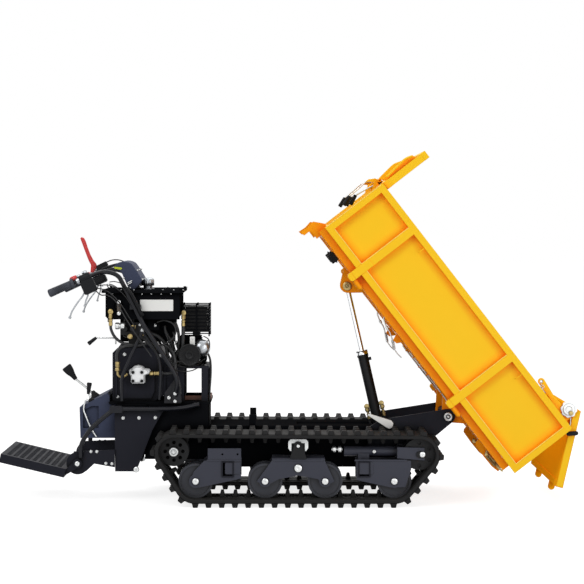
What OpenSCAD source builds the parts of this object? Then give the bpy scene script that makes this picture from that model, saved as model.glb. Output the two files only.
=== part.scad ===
// Tracked dumper with a tipping dropside bed, millimetres.
// +X points to the discharge end, +Y to the operator's left, +Z up, ground at Z = 0.

/* [Tracks] */
// Distance between the middles of the two tracks
track_gauge = 640; // [600:10:700]
// Width of one rubber track
track_w = 230; // [200:5:250]
// Thickness of the belt without its lugs
belt_t = 24; // [16:1:30]
// Height of a ground lug
lug_h = 20; // [12:1:30]
// Length of a ground lug at the belt, along the track
lug_root = 38; // [28:1:46]
// Length of a ground lug at its tip
lug_tip = 26; // [14:1:34]
// Ground lugs on one track
lug_count = 48; // [40:1:52]
// Height of an inner guide lug
guide_h = 36; // [24:1:40]
// Width of an inner guide lug, across the track
guide_w = 44; // [30:1:50]
// Length of an inner guide lug at the belt
guide_root = 30; // [20:1:34]
// Gap between a guide lug and the flanges beside it
guide_gap = 5; // [2:0.5:8]

/* [Wheels] */
// Sprocket centre, along the machine
sprocket_x = -630; // [-650:5:-610]
// Sprocket centre, above the ground
sprocket_z = 296; // [286:2:306]
// Sprocket radius, to the inside of the belt
sprocket_r = 81; // [76:1:90]
// Teeth on the sprocket
sprocket_teeth = 8; // [7:1:9]
// Idler centre, along the machine
idler_x = 700; // [680:5:715]
// Idler centre, above the ground
idler_z = 283; // [275:2:290]
// Idler radius
idler_r = 86; // [80:1:92]
// Road roller radius
roller_r = 94; // [84:1:98]
// Width of one roller flange
flange_w = 34; // [24:1:38]
// Carrier roller radius
carrier_r = 49; // [42:1:54]
// Carrier roller place, along the machine
carrier_x = 44; // [20:2:70]
// Radius of the roller axles
axle_r = 17; // [12:1:20]

/* [Undercarriage] */
// Thickness of the roller brackets' plates
bracket_t = 10; // [6:1:14]
// Height of the cross tubes
cross_tube_h = 85; // [70:5:95]
// Length of the cross tubes' section along the machine
cross_tube_l = 65; // [50:5:80]
// Wall of the cross tubes
cross_tube_wall = 6; // [4:0.5:8]
// Height of the cross tubes' middle
cross_tube_z = 204; // [200:1:210]
// Rear cross tube, along the machine
rear_tube_x = -337; // [-350:1:-325]
// Front cross tube, along the machine
front_tube_x = 401; // [390:1:412]
// Spacing of the two holes in a guard plate
guard_hole_gap = 82; // [60:1:100]
// Radius of the holes in a guard plate
guard_hole_r = 5.5; // [4:0.5:7]

/* [Frame] */
// Half width of the main beam
beam_half = 150; // [130:2:165]
// Lowest face of the main beam
beam_bottom = 182; // [170:2:200]
// Top of the main beam
beam_top = 398; // [385:1:405]
// Rear end of the main beam
beam_rear = -450; // [-470:5:-440]
// Front end of the main beam
beam_front = 585; // [560:5:600]
// Height of the rear deck
deck_z = 546; // [530:2:560]
// Distance of the bed rest posts from the middle
rest_y = 175; // [160:1:185]
// Place of the bed rest posts, along the machine
rest_x = -207; // [-220:1:-190]
// Thickness of the hinge plates
hinge_plate_t = 12; // [8:1:14]
// Radius of the hinge plates round the bed pivot
hinge_plate_r = 40; // [34:1:44]

/* [Bed] */
// Bed pivot, along the machine
pivot_x = 874; // [860:2:890]
// Bed pivot, above the ground
pivot_z = 467; // [460:1:475]
// Bed pivot behind the bed's front corner
pivot_u = 1245; // [1225:5:1265]
// Bed pivot below the floor's top
pivot_drop = 94; // [90:1:100]
// Tipping angle as it stands
bed_tilt = 52.3; // [40:0.1:54]
// Length of the side panels
bed_len = 1661; // [1600:1:1700]
// Width over the side panels
bed_w = 980; // [900:10:1040]
// Height of the side panels
side_h = 390; // [340:5:420]
// Thickness of the side panels
side_t = 38; // [30:1:44]
// Thickness of pressed sheet in panels and floor
sheet_t = 4; // [3:0.5:6]
// Width of the panels' rails
rail_w = 36; // [28:1:44]
// Width of the panels' upright ribs
rib_w = 46; // [40:2:64]
// Depth of the floor frame
floor_frame_h = 40; // [32:1:46]
// Gap between the floor and a side panel
side_gap = 6; // [5:0.5:9]
// Drop side hinge axis below the floor's top
side_hinge_drop = 48; // [44:1:54]
// Radius of the drop side hinge barrels
side_barrel_r = 13.5; // [11:0.5:15]
// Radius of the bed pivot shaft
bed_pin_r = 20; // [14:1:24]

/* [Headboard and tailgate] */
// Height of the upper guard above the floor
guard_top = 668; // [600:2:700]
// Lean of the upper guard to the load
guard_lean = 9.3; // [0:0.1:12]
// Tailgate pivot, along the bed
gate_pivot_u = 1556; // [1545:1:1562]
// Tailgate pivot, above the floor
gate_pivot_n = 404; // [400:1:410]
// Opening of the tailgate as it hangs
gate_open = 39; // [20:0.5:44]
// Thickness of the tailgate
gate_t = 38; // [30:1:44]
// Gap between the tailgate's edge and the drop sides' inner line
gate_gap = 5; // [3:0.5:8]
// Radius of the tailgate pivot pins
gate_pin_r = 11; // [8:0.5:14]

/* [Tipping cylinder] */
// Barrel pivot, along the machine
ram_x = 516; // [510:1:522]
// Barrel pivot, above the ground
ram_z = 339; // [334:1:344]
// Rod eye behind the bed's front corner
eye_u = 343; // [335:1:350]
// Rod eye below the floor's top
eye_drop = 92; // [88:1:96]
// Outer radius of the barrel
barrel_r = 29; // [26:0.5:32]
// Bore radius of the barrel
barrel_bore = 24; // [20:0.5:25]
// Length from the barrel pivot to the gland's end
barrel_len = 488; // [470:2:500]
// Radius of the rod
rod_r = 14; // [11:0.5:16]
// Radius of the cylinder's pins
ram_pin_r = 14; // [10:0.5:16]

/* [Operator station] */
// Outer face of the station's side plates from the middle
station_half = 220; // [214:1:226]
// Thickness of the station's side plates
station_t = 8; // [5:1:10]
// Platform pivot, along the machine
step_x = -1168; // [-1176:2:-1160]
// Platform pivot, above the ground
step_z = 213; // [205:1:220]
// Half width of the platform
step_half = 270; // [240:5:285]
// Slope of the platform as it hangs
step_tilt = 13.3; // [8:0.1:16]
// Depth of the platform's skirt
step_skirt = 48; // [36:1:56]
// Radius of handlebar tube
bar_r = 12.5; // [10:0.5:15]
// Distance of the handlebars from the middle
bar_y = 250; // [240:2:260]
// Distance of the grips from the middle
grip_y = 335; // [320:5:345]
// Radius of the grips
grip_r = 17.5; // [15:0.5:20]
// Half width of the hydraulic tank
tank_half = 200; // [180:5:215]
// Bottom of the hydraulic tank
tank_bottom = 1003; // [995:1:1010]
// Top of the hydraulic tank's walls
tank_top = 1149; // [1140:1:1155]

/* [Hidden] */
$fn = 48;
YELLOW = "#f4c420";
ORANGE = "#e8820c";
DARK = "#2a2b33";
RUBBER = "#1c1b1a";
ZINC = "#c9c9c4";
ALU = "#b9bbbd";
RED = "#c8201c";
SLATE = "#3a4450";
GREY = "#55575c";
fit = 0.3;      // running clearance between pieces that turn or slide
seat = 0.3;     // gap between a piece and what carries it
eps = 1;        // overlap of solids joined in one piece

// Places worked out from the sizes above
track_y = track_gauge / 2;
track_in = track_y - track_w / 2;
belt_z = lug_h + belt_t;
roller_z = belt_z + roller_r + seat;
roller_y = guide_w / 2 + guide_gap;
bracket_y = roller_y + flange_w + 6;
bracket_out = bracket_y + bracket_t;
cross_tube_low = cross_tube_z - cross_tube_h / 2;
cross_tube_top = cross_tube_z + cross_tube_h / 2;
side_in = bed_w / 2 - side_t;
floor_half = side_in - side_gap;
side_hinge_y = bed_w / 2 - 20;
gate_u = bed_len - gate_t;
gate_half = floor_half - gate_gap;
bed_rear = gate_u - 5;

// Road roller places along the machine: single rear, bogie pair, single front
rear_roller_x = -511;
bogie_rear_x = -135;
bogie_front_x = 190;
front_roller_x = 564;
roller_places = [rear_roller_x, bogie_rear_x, bogie_front_x, front_roller_x];

// Pulleys that the track runs round, counter-clockwise from the side: x, z, radius to the belt's inside
pulleys = [
    [sprocket_x, sprocket_z, sprocket_r],
    [rear_roller_x, belt_z + roller_r, roller_r],
    [front_roller_x, belt_z + roller_r, roller_r],
    [idler_x, idler_z, idler_r]
];
pulley_count = len(pulleys);
function pulley(i) = pulleys[(i + pulley_count) % pulley_count];
function run_angle(i) =
    let(a = pulley(i), b = pulley(i + 1), dx = b[0] - a[0], dz = b[1] - a[1])
    atan2(dz, dx) + asin((a[2] - b[2]) / norm([dx, dz]));
function turn(a) = (a % 360 + 360) % 360;
function wrap(i) = turn(run_angle(i) - run_angle(i - 1));
function rim(i, angle, r) = [pulley(i)[0] + r * cos(angle), pulley(i)[1] + r * sin(angle)];
// Lengths of the belt's middle line round each pulley and along each straight run
mid = belt_t / 2;
arc_len = [for (i = [0:pulley_count - 1]) wrap(i) * PI / 180 * (pulley(i)[2] + mid)];
run_len = [for (i = [0:pulley_count - 1])
    norm(rim(i, run_angle(i) - 90, pulley(i)[2]) - rim(i + 1, run_angle(i) - 90, pulley(i + 1)[2]))];
function total(v, i = 0) = i == len(v) ? 0 : v[i] + total(v, i + 1);
track_len = total(arc_len) + total(run_len);
lug_pitch = track_len / lug_count;
// Start of the lugs: the rearmost point of the sprocket
start_len = turn(180 - (run_angle(-1) - 90)) * PI / 180 * (sprocket_r + mid);
// Point of the middle line at length s, with its direction: x, z, angle
function on_track(s, i = 0) =
    s < arc_len[i]
    ? let(angle = run_angle(i - 1) - 90 + s / (pulley(i)[2] + mid) * 180 / PI,
        p = rim(i, angle, pulley(i)[2] + mid)) [p[0], p[1], angle + 90]
    : s < arc_len[i] + run_len[i]
    ? let(a = run_angle(i), p = rim(i, a - 90, pulley(i)[2] + mid), t = s - arc_len[i])
        [p[0] + t * cos(a), p[1] + t * sin(a), a]
    : i == pulley_count - 1 ? on_track(s - arc_len[i] - run_len[i], 0)
    : on_track(s - arc_len[i] - run_len[i], i + 1);
// Height of the belt's inside on the upper run
function upper_run(x) =
    let(a = sprocket_z + sprocket_r, b = idler_z + idler_r)
    a + (b - a) * (x - sprocket_x) / (idler_x - sprocket_x);

// Cylinder line as it stands
eye_x = pivot_x + (eye_u - pivot_u) * cos(bed_tilt) + (pivot_drop - eye_drop) * sin(bed_tilt);
eye_z = pivot_z - (eye_u - pivot_u) * sin(bed_tilt) + (pivot_drop - eye_drop) * cos(bed_tilt);
ram_len = norm([eye_x - ram_x, eye_z - ram_z]);
ram_angle = atan2(eye_x - ram_x, eye_z - ram_z);

// Piston on the rod: thickness and place, short of the gland as the bed stands
piston_h = 25;
piston_z = barrel_len - 113.5;
// Radius of the rod's eye
rod_eye_r = 26;
// Half length of the pin that the barrel swings on
trunnion_half = 52;

// Holes of the guard plate over the rear road roller
guard_hole_x = -325;
guard_hole_z = 284;
// Pivot of the rocking beam
bogie_pin_x = 44;
bogie_pin_z = 209;
bogie_pin_r = 22;

// Half width of the box behind the main beam, and thickness of the deck on it
rear_box_half = 190;
deck_t = 12;
// Side plates of the station, drawn from the side
station_outline = [[-966, 517], [-963, 166], [-863, 166], [-849, 159], [-808, 264], [-759, 390],
    [-720, 462], [-687, 517]];

// Rubber rests under the bed, and the posts that they come down on
buffer_h = 42;
buffer_u = 164;
rest_top = pivot_z + pivot_drop - floor_frame_h - buffer_h - 5;

// Engine, silencer and guard places
stand_top = 742;
engine_x = -556;
fin_count = 6;
fin_pitch = 11;
fin_t = 5;
muffler_x = -524;
muffler_z = 998;
head_top = 160;
muffler_foot_z = stand_top + head_top + seat;
guard_bars = 9;

// Oil tank and pump places
tank_rear = -1018;
tank_front = -609;
tank_len = tank_front - tank_rear;
lid_over = 20;
lid_t = 16;
lid_z = tank_top + lid_t;
cap_x = -794;
cap_y = -60;
gauge_x = -945;
gauge_z = tank_bottom + 74;
pump_x = -838;
pump_z = 702;

// Middle and radius of the cowl's crown
cowl_x = -930;
cowl_z = 1226;
cowl_r = 97;

// Shift levers: x, y and z of the foot, reach back, height, knob radius
lever_table = [
    [-1100, 60, 549.3, 120, 120, 30],
    [-1080, -120, 557.7, 36, 62, 18]
];

// Holes of the platform's deck
step_cols = 9;
step_rows = 13;
step_hole_r = 17;
// Radius of the platform's pivot
step_pin_r = 16;

// Corner posts: width, and their front face
post_w = 36;
post_u = gate_u - post_w - 11;
// Upright ribs of the drop sides, and the pins of their hinges
rib_places = [296, 1156];
side_pin_r = 6;
side_foot_n = -side_hinge_drop - side_barrel_r - 4;
// Place of the catches under the bed, across
catch_y = 280;
// Ring at the front end of the latch arms, and the arms' bend
latch_ring = [1366, 416];
latch_bend = [1470, 410];

// Hoses: radius, points, a direction that the route never follows
hose_table = [
    [8, [[-467.7, -60, 812], [-460, -60, 812], [-452, -60, 812], [-430, -84, 770], [-428, -110, 640],
        [-428, -104, 520], [-428, -100, 450], [-428, -100, 430], [-428, -100, 410 + seat]], [0, 1, 0]],
    [9, [[pump_x + 62.3, -173, pump_z], [pump_x + 72, -173, pump_z], [pump_x + 82, -173, pump_z],
        [pump_x + 102, -176, pump_z + 60], [-748, -180, 860], [-764, -150, 930], [-786, -120, 945],
        [-796, -120, 945], [-805.7, -120, 945]], [0, 1, 0]],
    [9, [[pump_x - 62.3, -173, pump_z], [pump_x - 72, -173, pump_z], [pump_x - 82, -173, pump_z],
        [pump_x - 102, -176, pump_z + 60], [-948, -180, 860], [-966, -150, 930], [-956, -120, 945],
        [-946, -120, 945], [-936.3, -120, 945]], [0, 1, 0]]
];

// Where the grips start, and the line from a grip back to the handlebar
grip_slope = 24;
grip_start = [-1175, grip_y, 1211];
grip_line = [cos(grip_slope), 0, sin(grip_slope)];

// Largest step round a pulley, in degrees
arc_step = 7.5;

// Flat outline in the side view, from y0 to y1
module slab(y0, y1) {
    translate([0, y1, 0]) rotate([90, 0, 0]) linear_extrude(y1 - y0) children();
}

// Round bar across the machine at x, z
module cross_bar(x, z, y0, y1, r) {
    translate([x, y1, z]) rotate([90, 0, 0]) cylinder(h = y1 - y0, r = r);
}

// Box between two corners
module box(a, b) {
    translate(a) cube([b[0] - a[0], b[1] - a[1], b[2] - a[2]]);
}

// Drawn on the left; side is 1 for left and -1 for right
module on_side(side) {
    mirror([0, side > 0 ? 0 : 1, 0]) children();
}

module both_sides() {
    children();
    mirror([0, 1, 0]) children();
}

// Carries shapes from the bed's own frame: u back from the front corner, y, n up out of the floor
module in_bed() {
    translate([pivot_x, 0, pivot_z]) rotate([0, bed_tilt, 0])
        translate([-pivot_u, 0, pivot_drop]) children();
}

// Carries shapes from the cylinder's frame: its line along Z from the barrel pivot
module in_ram() {
    translate([ram_x, 0, ram_z]) rotate([0, ram_angle, 0]) children();
}

// Smooth curve through hand-chosen points, steps pieces between two of them
function curve_point(p, i, t) =
    let(n = len(p), a = p[max(i - 1, 0)], b = p[i], c = p[min(i + 1, n - 1)], d = p[min(i + 2, n - 1)])
    0.5 * (2 * b + (c - a) * t + (2 * a - 5 * b + 4 * c - d) * t * t + (3 * b - a - 3 * c + d) * t * t * t);
function smooth(p, steps) =
    concat([for (i = [0:len(p) - 2], k = [0:steps - 1]) curve_point(p, i, k / steps)], [p[len(p) - 1]]);
function unit(v) = v / norm(v);

// Tube of radius r along a path, closed at both ends; flat is a direction the path never follows
module tube(path, r, sides = 10, flat = [0, 1, 0]) {
    n = len(path);
    tangents = [for (i = [0:n - 1]) unit(path[min(i + 1, n - 1)] - path[max(i - 1, 0)])];
    points = [for (i = [0:n - 1], k = [0:sides - 1])
        let(t = tangents[i], a = unit(cross(flat, t)), b = cross(t, a), w = 360 * k / sides)
        path[i] + r * (cos(w) * a + sin(w) * b)];
    walls = [for (i = [0:n - 2], k = [0:sides - 1])
        let(a = i * sides + k, b = i * sides + (k + 1) % sides) [a, a + sides, b + sides, b]];
    caps = [[for (k = [0:sides - 1]) k], [for (k = [0:sides - 1]) n * sides - 1 - k]];
    polyhedron(points = points, faces = concat(walls, caps));
}

// Closed outline round the pulleys, grown outwards
function loop_outline(grow) = [for (i = [0:pulley_count - 1])
    let(n = ceil(wrap(i) / arc_step))
    for (k = [0:n]) rim(i, run_angle(i - 1) - 90 + wrap(i) * k / n, pulley(i)[2] + grow)];
// Point of the track at length s, moved along the track and outwards
function off_track(s, along, out) =
    let(p = on_track((s + track_len) % track_len), a = p[2])
    [p[0] + along * cos(a) + out * sin(a), p[1] + along * sin(a) - out * cos(a)];
function lug_place(k) = start_len + k * lug_pitch;

// One rubber track: belt, ground lugs outside and guide lugs inside
module track(side) {
    color(RUBBER) on_side(side) {
        slab(track_in, track_in + track_w) difference() {
            polygon([for (k = [0:lug_count - 1]) let(s = lug_place(k)) each [
                off_track(s - lug_root / 2, 0, mid), off_track(s, -lug_tip / 2, mid + lug_h),
                off_track(s, lug_tip / 2, mid + lug_h), off_track(s + lug_root / 2, 0, mid),
                off_track(s + lug_pitch / 2, 0, mid)]]);
            polygon(loop_outline(0));
        }
        slab(track_y - guide_w / 2, track_y + guide_w / 2) for (k = [0:lug_count - 1]) let(s = lug_place(k))
            polygon([off_track(s, -guide_root / 2, 3 - mid), off_track(s, guide_root / 2, 3 - mid),
                off_track(s, guide_root / 2, -mid), off_track(s, guide_root / 4, -mid - guide_h),
                off_track(s, -guide_root / 4, -mid - guide_h), off_track(s, -guide_root / 2, -mid)]);
    }
}
module track_left() { track(1); }
module track_right() { track(-1); }

// Toothed drive wheel: two spoked rims with cross bars between them and the drive's hub
module sprocket(side) {
    rim_r = sprocket_r - seat;
    bar_ring_r = rim_r - 15;
    color(DARK) on_side(side) {
        for (s = [-1, 1]) {
            y = track_y + s * (roller_y + 8);
            slab(y - 8, y + 8) translate([sprocket_x, sprocket_z]) difference() {
                circle(rim_r);
                for (k = [0:sprocket_teeth - 1]) rotate((k + 0.5) * 360 / sprocket_teeth + 22.5)
                    translate([48, 0]) circle(10);
            }
        }
        for (k = [0:sprocket_teeth - 1]) {
            a = 180 + (k + 0.5) * 360 / sprocket_teeth;
            cross_bar(sprocket_x + bar_ring_r * cos(a), sprocket_z + bar_ring_r * sin(a),
                track_y - roller_y - eps, track_y + roller_y + eps, 9);
        }
        cross_bar(sprocket_x, sprocket_z, rear_box_half, track_y + roller_y + 16 + 22, 24.5);
    }
}
module sprocket_left() { sprocket(1); }
module sprocket_right() { sprocket(-1); }

// Spool: two flanges on a core, so that the guide lugs pass between them
module spool(x, z, r, core_r) {
    for (s = [-1, 1]) {
        y = track_y + s * (roller_y + flange_w / 2);
        cross_bar(x, z, y - flange_w / 2, y + flange_w / 2, r);
    }
    cross_bar(x, z, track_y - roller_y - eps, track_y + roller_y + eps, core_r);
}

// Grooved idler with round windows in its flanges
module idler(side) {
    color(DARK) on_side(side) {
        difference() {
            spool(idler_x, idler_z, idler_r - seat, idler_r - guide_h - 8);
            for (k = [0:5]) let(a = 60 * k + 30)
                cross_bar(idler_x + 62 * cos(a), idler_z + 62 * sin(a), track_y + roller_y + flange_w - 12,
                    track_y + roller_y + flange_w + eps, 11);
        }
        cross_bar(idler_x, idler_z, track_y - bracket_out, track_y + bracket_out + 8, axle_r);
    }
}
module idler_left() { idler(1); }
module idler_right() { idler(-1); }

// Four road rollers on their axles, with dished outer faces
module road_rollers(side) {
    color(GREY) on_side(side) for (x = roller_places) {
        difference() {
            spool(x, roller_z, roller_r, roller_r - guide_h - 8);
            for (s = [-1, 1])
                translate([x, track_y + s * (roller_y + flange_w), roller_z]) rotate([90, 0, 0])
                    rotate_extrude() translate([34, -8]) square([roller_r - 34 - 12, 16]);
        }
        cross_bar(x, roller_z, track_y - bracket_out - 4, track_y + bracket_out + 6, axle_r);
    }
}
module road_rollers_left() { road_rollers(1); }
module road_rollers_right() { road_rollers(-1); }

// Plate pair outside a roller's flanges
module plate_pair() {
    for (y = [track_y - bracket_out, track_y + bracket_y])
        slab(y, y + bracket_t) children();
}

// Brackets of the single rollers, the guard plate above the rear one
module roller_brackets(side) {
    color(DARK) on_side(side) {
        difference() {
            union() {
                plate_pair() {
                    polygon([[-464, 250], [-265, 250], [-265, 153], [-399, 124], [rear_roller_x + 20, 104],
                        [rear_roller_x - 34, 128], [rear_roller_x - 10, 190]]);
                    translate([rear_roller_x, roller_z]) circle(36);
                }
                plate_pair() {
                    polygon([[358, 250], [655, 250], [655, 204], [624, 107], [549, 104], [360, 145]]);
                    translate([front_roller_x, roller_z]) circle(36);
                }
            }
            for (x = [rear_roller_x, front_roller_x])
                cross_bar(x, roller_z, track_in, track_in + track_w, axle_r + seat);
            for (x = [rear_tube_x, front_tube_x])
                box([x - cross_tube_l / 2, track_in, cross_tube_low],
                    [x + cross_tube_l / 2, track_in + track_w, cross_tube_top]);
        }
        difference() {
            box([-445, track_y + bracket_y, 250], [-265, track_y + bracket_out, 316]);
            for (s = [-1, 1])
                cross_bar(guard_hole_x + s * guard_hole_gap / 2, guard_hole_z, track_in,
                    track_in + track_w, guard_hole_r);
        }
    }
}
module roller_brackets_left() { roller_brackets(1); }
module roller_brackets_right() { roller_brackets(-1); }

// Rocking beam that carries the middle rollers
module bogie(side) {
    color(DARK) on_side(side) difference() {
        union() {
            plate_pair() {
                polygon([[-98, 250], [188, 250], [240, 138], [190, 110], [150, 150], [44, 170], [-60, 150],
                    [bogie_rear_x, 110], [bogie_rear_x - 45, 138]]);
                for (x = [bogie_rear_x, bogie_front_x]) translate([x, roller_z]) circle(32);
            }
            box([-98, track_y - bracket_out, 250], [188, track_y + bracket_out, 262]);
        }
        for (x = [bogie_rear_x, bogie_front_x])
            cross_bar(x, roller_z, track_in, track_in + track_w, axle_r + seat);
        cross_bar(bogie_pin_x, bogie_pin_z, track_in, track_in + track_w, bogie_pin_r);
    }
}
module bogie_left() { bogie(1); }
module bogie_right() { bogie(-1); }

// Square tubes from the beam to the brackets, and the round bogie pivots
module cross_tubes() {
    color(DARK) both_sides() {
        for (x = [rear_tube_x, front_tube_x]) difference() {
            box([x - cross_tube_l / 2, beam_half, cross_tube_low],
                [x + cross_tube_l / 2, track_y + bracket_out + 6, cross_tube_top]);
            box([x - cross_tube_l / 2 + cross_tube_wall, beam_half + 20, cross_tube_low + cross_tube_wall],
                [x + cross_tube_l / 2 - cross_tube_wall, track_in + track_w,
                cross_tube_top - cross_tube_wall]);
        }
        cross_bar(bogie_pin_x, bogie_pin_z, beam_half, track_y + bracket_out + 6, bogie_pin_r - seat);
    }
}

// Pair of small wheels on a stub axle, under each upper run
module carrier_rollers() {
    z = upper_run(carrier_x) - carrier_r - 2 * seat;
    color(ZINC) both_sides() {
        for (s = [-1, 1]) {
            y = track_y + s * (roller_y + 14);
            cross_bar(carrier_x, z, y - 14, y + 14, carrier_r);
        }
        cross_bar(carrier_x, z, beam_half, track_y + roller_y + 40, axle_r);
    }
}

// Tube, fork and adjuster that push the idler forwards
module tensioners() {
    y = track_y + bracket_y;
    color(DARK) both_sides() {
        for (s = [y, track_y - bracket_out]) difference() {
            slab(s, s + bracket_t) polygon([[593, 322], [593, 262], [727, 251], [727, 319]]);
            cross_bar(idler_x, idler_z, track_in, track_in + track_w, axle_r + seat);
        }
        box([580, track_y - bracket_out, 262], [593, track_y + bracket_out, 322]);
        translate([295, track_y, 292]) rotate([0, 90, 0]) cylinder(h = 286, r = 27);
        box([front_tube_x - 30, track_y - 25, cross_tube_top], [front_tube_x + 30, track_y + 25, 292]);
    }
}

// Longitudinal beam, rear box between the tracks, and the posts that the lowered bed rests on
module main_frame() {
    color(DARK) {
        difference() {
            union() {
                box([beam_rear, -beam_half, beam_bottom], [beam_front, beam_half, beam_top]);
                box([beam_rear, -beam_half - 14, beam_top - 6], [500, beam_half + 14, beam_top + 12]);
            }
            box([40, -52, 270], [700, 52, 600]);
        }
        box([-800, -rear_box_half, 230], [beam_rear, rear_box_half, deck_z - deck_t]);
        slab(-station_half + station_t, station_half - station_t)
            polygon([[-960, 180], [-866, 180], [-820, 270], [-790, 350], [-790, deck_z - deck_t],
                [-960, deck_z - deck_t]]);
        box([-1000, -rear_box_half, deck_z - deck_t], [-439, rear_box_half, deck_z]);
        both_sides() {
            box([rest_x - 18, rest_y - 18, beam_top - 20], [rest_x + 18, rest_y + 18, rest_top]);
            box([rest_x - 18, beam_half, beam_top - 60], [rest_x + 18, rest_y + 18, beam_top - 20 + eps]);
        }
        both_sides() difference() {
            slab(38, 52) {
                translate([ram_x, ram_z]) circle(34);
                polygon([[ram_x - 60, 270], [ram_x + 60, 270], [ram_x + 34, ram_z], [ram_x - 34, ram_z]]);
            }
            cross_bar(ram_x, ram_z, 0, 60, ram_pin_r + fit);
        }
    }
}

// Plates that carry the bed pivot, joined to the beam by a cross box
module hinge_plates() {
    y = 188;
    color(DARK) {
        both_sides() {
            slab(y, y + hinge_plate_t) {
                polygon([[430, 250], [430, 403], [505, 450], [868, pivot_z + hinge_plate_r],
                    [pivot_x + hinge_plate_r, pivot_z], [900, 437], [812, 364], [640, 250]]);
                translate([pivot_x, pivot_z]) circle(hinge_plate_r);
            }
            box([440, beam_half, 260], [580, y + eps, 380]);
            cross_bar(pivot_x, pivot_z, y + hinge_plate_t - eps, y + hinge_plate_t + 14, 23);
        }
        cross_bar(pivot_x, pivot_z, -y - eps, y + eps, bed_pin_r);
    }
}

// Side plates of the station with the thicker plates that hold the platform's pivot
module station_plates() {
    color(DARK) both_sides() {
        slab(station_half - station_t, station_half) polygon(station_outline);
        difference() {
            slab(station_half, station_half + 10) {
                polygon([[-1191, 277], [-964, 286], [-964, 190], [-1077, 210], [-1120, 170], [-1177, 151]]);
                translate([step_x, step_z]) circle(62);
            }
            cross_bar(step_x, step_z, 0, 400, step_pin_r + fit);
        }
    }
}

// Folding platform: folded skirt, open mesh deck and two arms on the pivot
module platform() {
    corner = [-1229, 186];
    depth = 366;
    color(DARK) {
        translate([corner[0], 0, corner[1]]) rotate([0, step_tilt, 0]) {
            difference() {
                box([-depth, -step_half, -step_skirt], [0, step_half, 0]);
                box([-depth + 6, -step_half + 6, -step_skirt - eps], [-6, step_half - 6, -5]);
                for (i = [0:step_cols - 1], j = [0:step_rows - 1]) let(
                    x = -depth + 40 + i * (depth - 80) / (step_cols - 1),
                    y = -step_half + 46 + j * (2 * step_half - 92) / (step_rows - 1))
                    translate([x, y, -10]) rotate(45) cylinder(h = 20, r = step_hole_r, $fn = 4);
            }
            for (x = [-depth * 0.68, -depth * 0.34])
                box([x, -step_half + 4, -26], [x + 8, step_half - 4, -5 + eps]);
        }
        both_sides() {
            slab(station_half + 15, station_half + 27) {
                polygon([[-1300, 196], [-1233, 181], [step_x, step_z + 26], [step_x, step_z - 26],
                    [-1240, 146], [-1290, 158]]);
                translate([step_x, step_z]) circle(26);
            }
            cross_bar(step_x, step_z, station_half - 4, station_half + 34, step_pin_r);
            cross_bar(step_x, step_z, station_half + 27 - eps, station_half + 34, 24);
        }
    }
}

// Ribbed casing of the drive, with a raised square cover on each side
module gearbox() {
    color(DARK) {
        slab(-120, 120) difference() {
            polygon([[-987, deck_z], [-748, deck_z], [-640, 620], [-634, 700], [-720, 838], [-987, 838]]);
            translate([-987, 838]) circle(26, $fn = 4);
        }
        both_sides() {
            slab(120 - eps, 136) polygon([[-934, 560], [-770, 560], [-752, 600], [-752, 700], [-934, 700]]);
            slab(120 - eps, 128) for (rib = [[-970, 260], [-735, 180], [-700, 180]])
                translate([rib[0], deck_z + 20]) square([10, rib[1]]);
        }
        slab(-90, 90) polygon([[-960, 838 - eps], [-760, 838 - eps], [-775, 858], [-945, 858]]);
    }
}

// Gear pump: stacked flange, body and cover with four screws, and its two ports
module gear_pump() {
    color(ALU) translate([pump_x, 0, pump_z]) {
        slab(-150, -136) hull() for (dx = [-48, 48], dz = [-34, 34])
            translate([dx, dz]) circle(12, $fn = 24);
        slab(-196, -150 + eps) hull() for (dz = [-14, 14])
            translate([0, dz]) circle(42, $fn = 32);
        slab(-210, -196 + eps) hull() for (dx = [-40, 40], dz = [-34, 34])
            translate([dx, dz]) circle(10, $fn = 24);
        for (dx = [-38, 38], dz = [-32, 32]) cross_bar(dx, dz, -216, -208, 6);
        for (s = [-1, 1]) translate([s * 40, -173, 0]) rotate([0, s * 90, 0]) cylinder(h = 22, r = 15);
    }
}

// Oil tank with a bolted lid that overhangs it, a filler cap and a level gauge
module hydraulic_tank() {
    color(DARK) {
        difference() {
            slab(-tank_half, tank_half) difference() {
                translate([tank_rear, tank_bottom]) square([tank_len, tank_top - tank_bottom]);
                for (x = [tank_rear, tank_front]) translate([x, tank_bottom]) circle(16, $fn = 4);
            }
            cross_bar(gauge_x, gauge_z, -tank_half - eps, -tank_half + 4, 26);
        }
        box([tank_rear - lid_over, -tank_half - lid_over, tank_top],
            [tank_front + lid_over, tank_half + lid_over, lid_z]);
        both_sides() for (x = [tank_rear - 8, tank_rear + tank_len / 2, tank_front + 8])
            translate([x, tank_half + 8, lid_z - eps]) cylinder(h = 8, r = 8, $fn = 6);
        translate([cap_x, cap_y, lid_z]) {
            translate([0, 0, -eps]) cylinder(h = 22, r = 20);
            translate([0, 0, 20]) cylinder(h = 26, r = 33);
            translate([0, 0, 45]) cylinder(h = 12, r = 26);
        }
        cross_bar(gauge_x, gauge_z, -tank_half - 8, -tank_half + 4, 20);
        for (x = [-1000, -640], y = [-130, 130])
            translate([x, y, tank_bottom - 18]) cylinder(h = 18 + eps, r = 13);
    }
}

// Valve body under the tank, its spool caps and its foot on the casing
module valve_block() {
    color(GREY) {
        box([-936, -176, 915], [-806, 60, 985]);
        box([-900, -80, 858], [-840, 40, 915 + eps]);
        for (k = [0:2]) let(x = -912 + k * 42) {
            cross_bar(x, 950, -196, -176 + eps, 14);
            translate([x, -140, 985 - eps]) cylinder(h = 18, r = 9);
        }
        for (x = [-924, -818]) translate([x, -40, 985 - eps]) cylinder(h = tank_bottom - 985 + eps, r = 11);
    }
}

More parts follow.
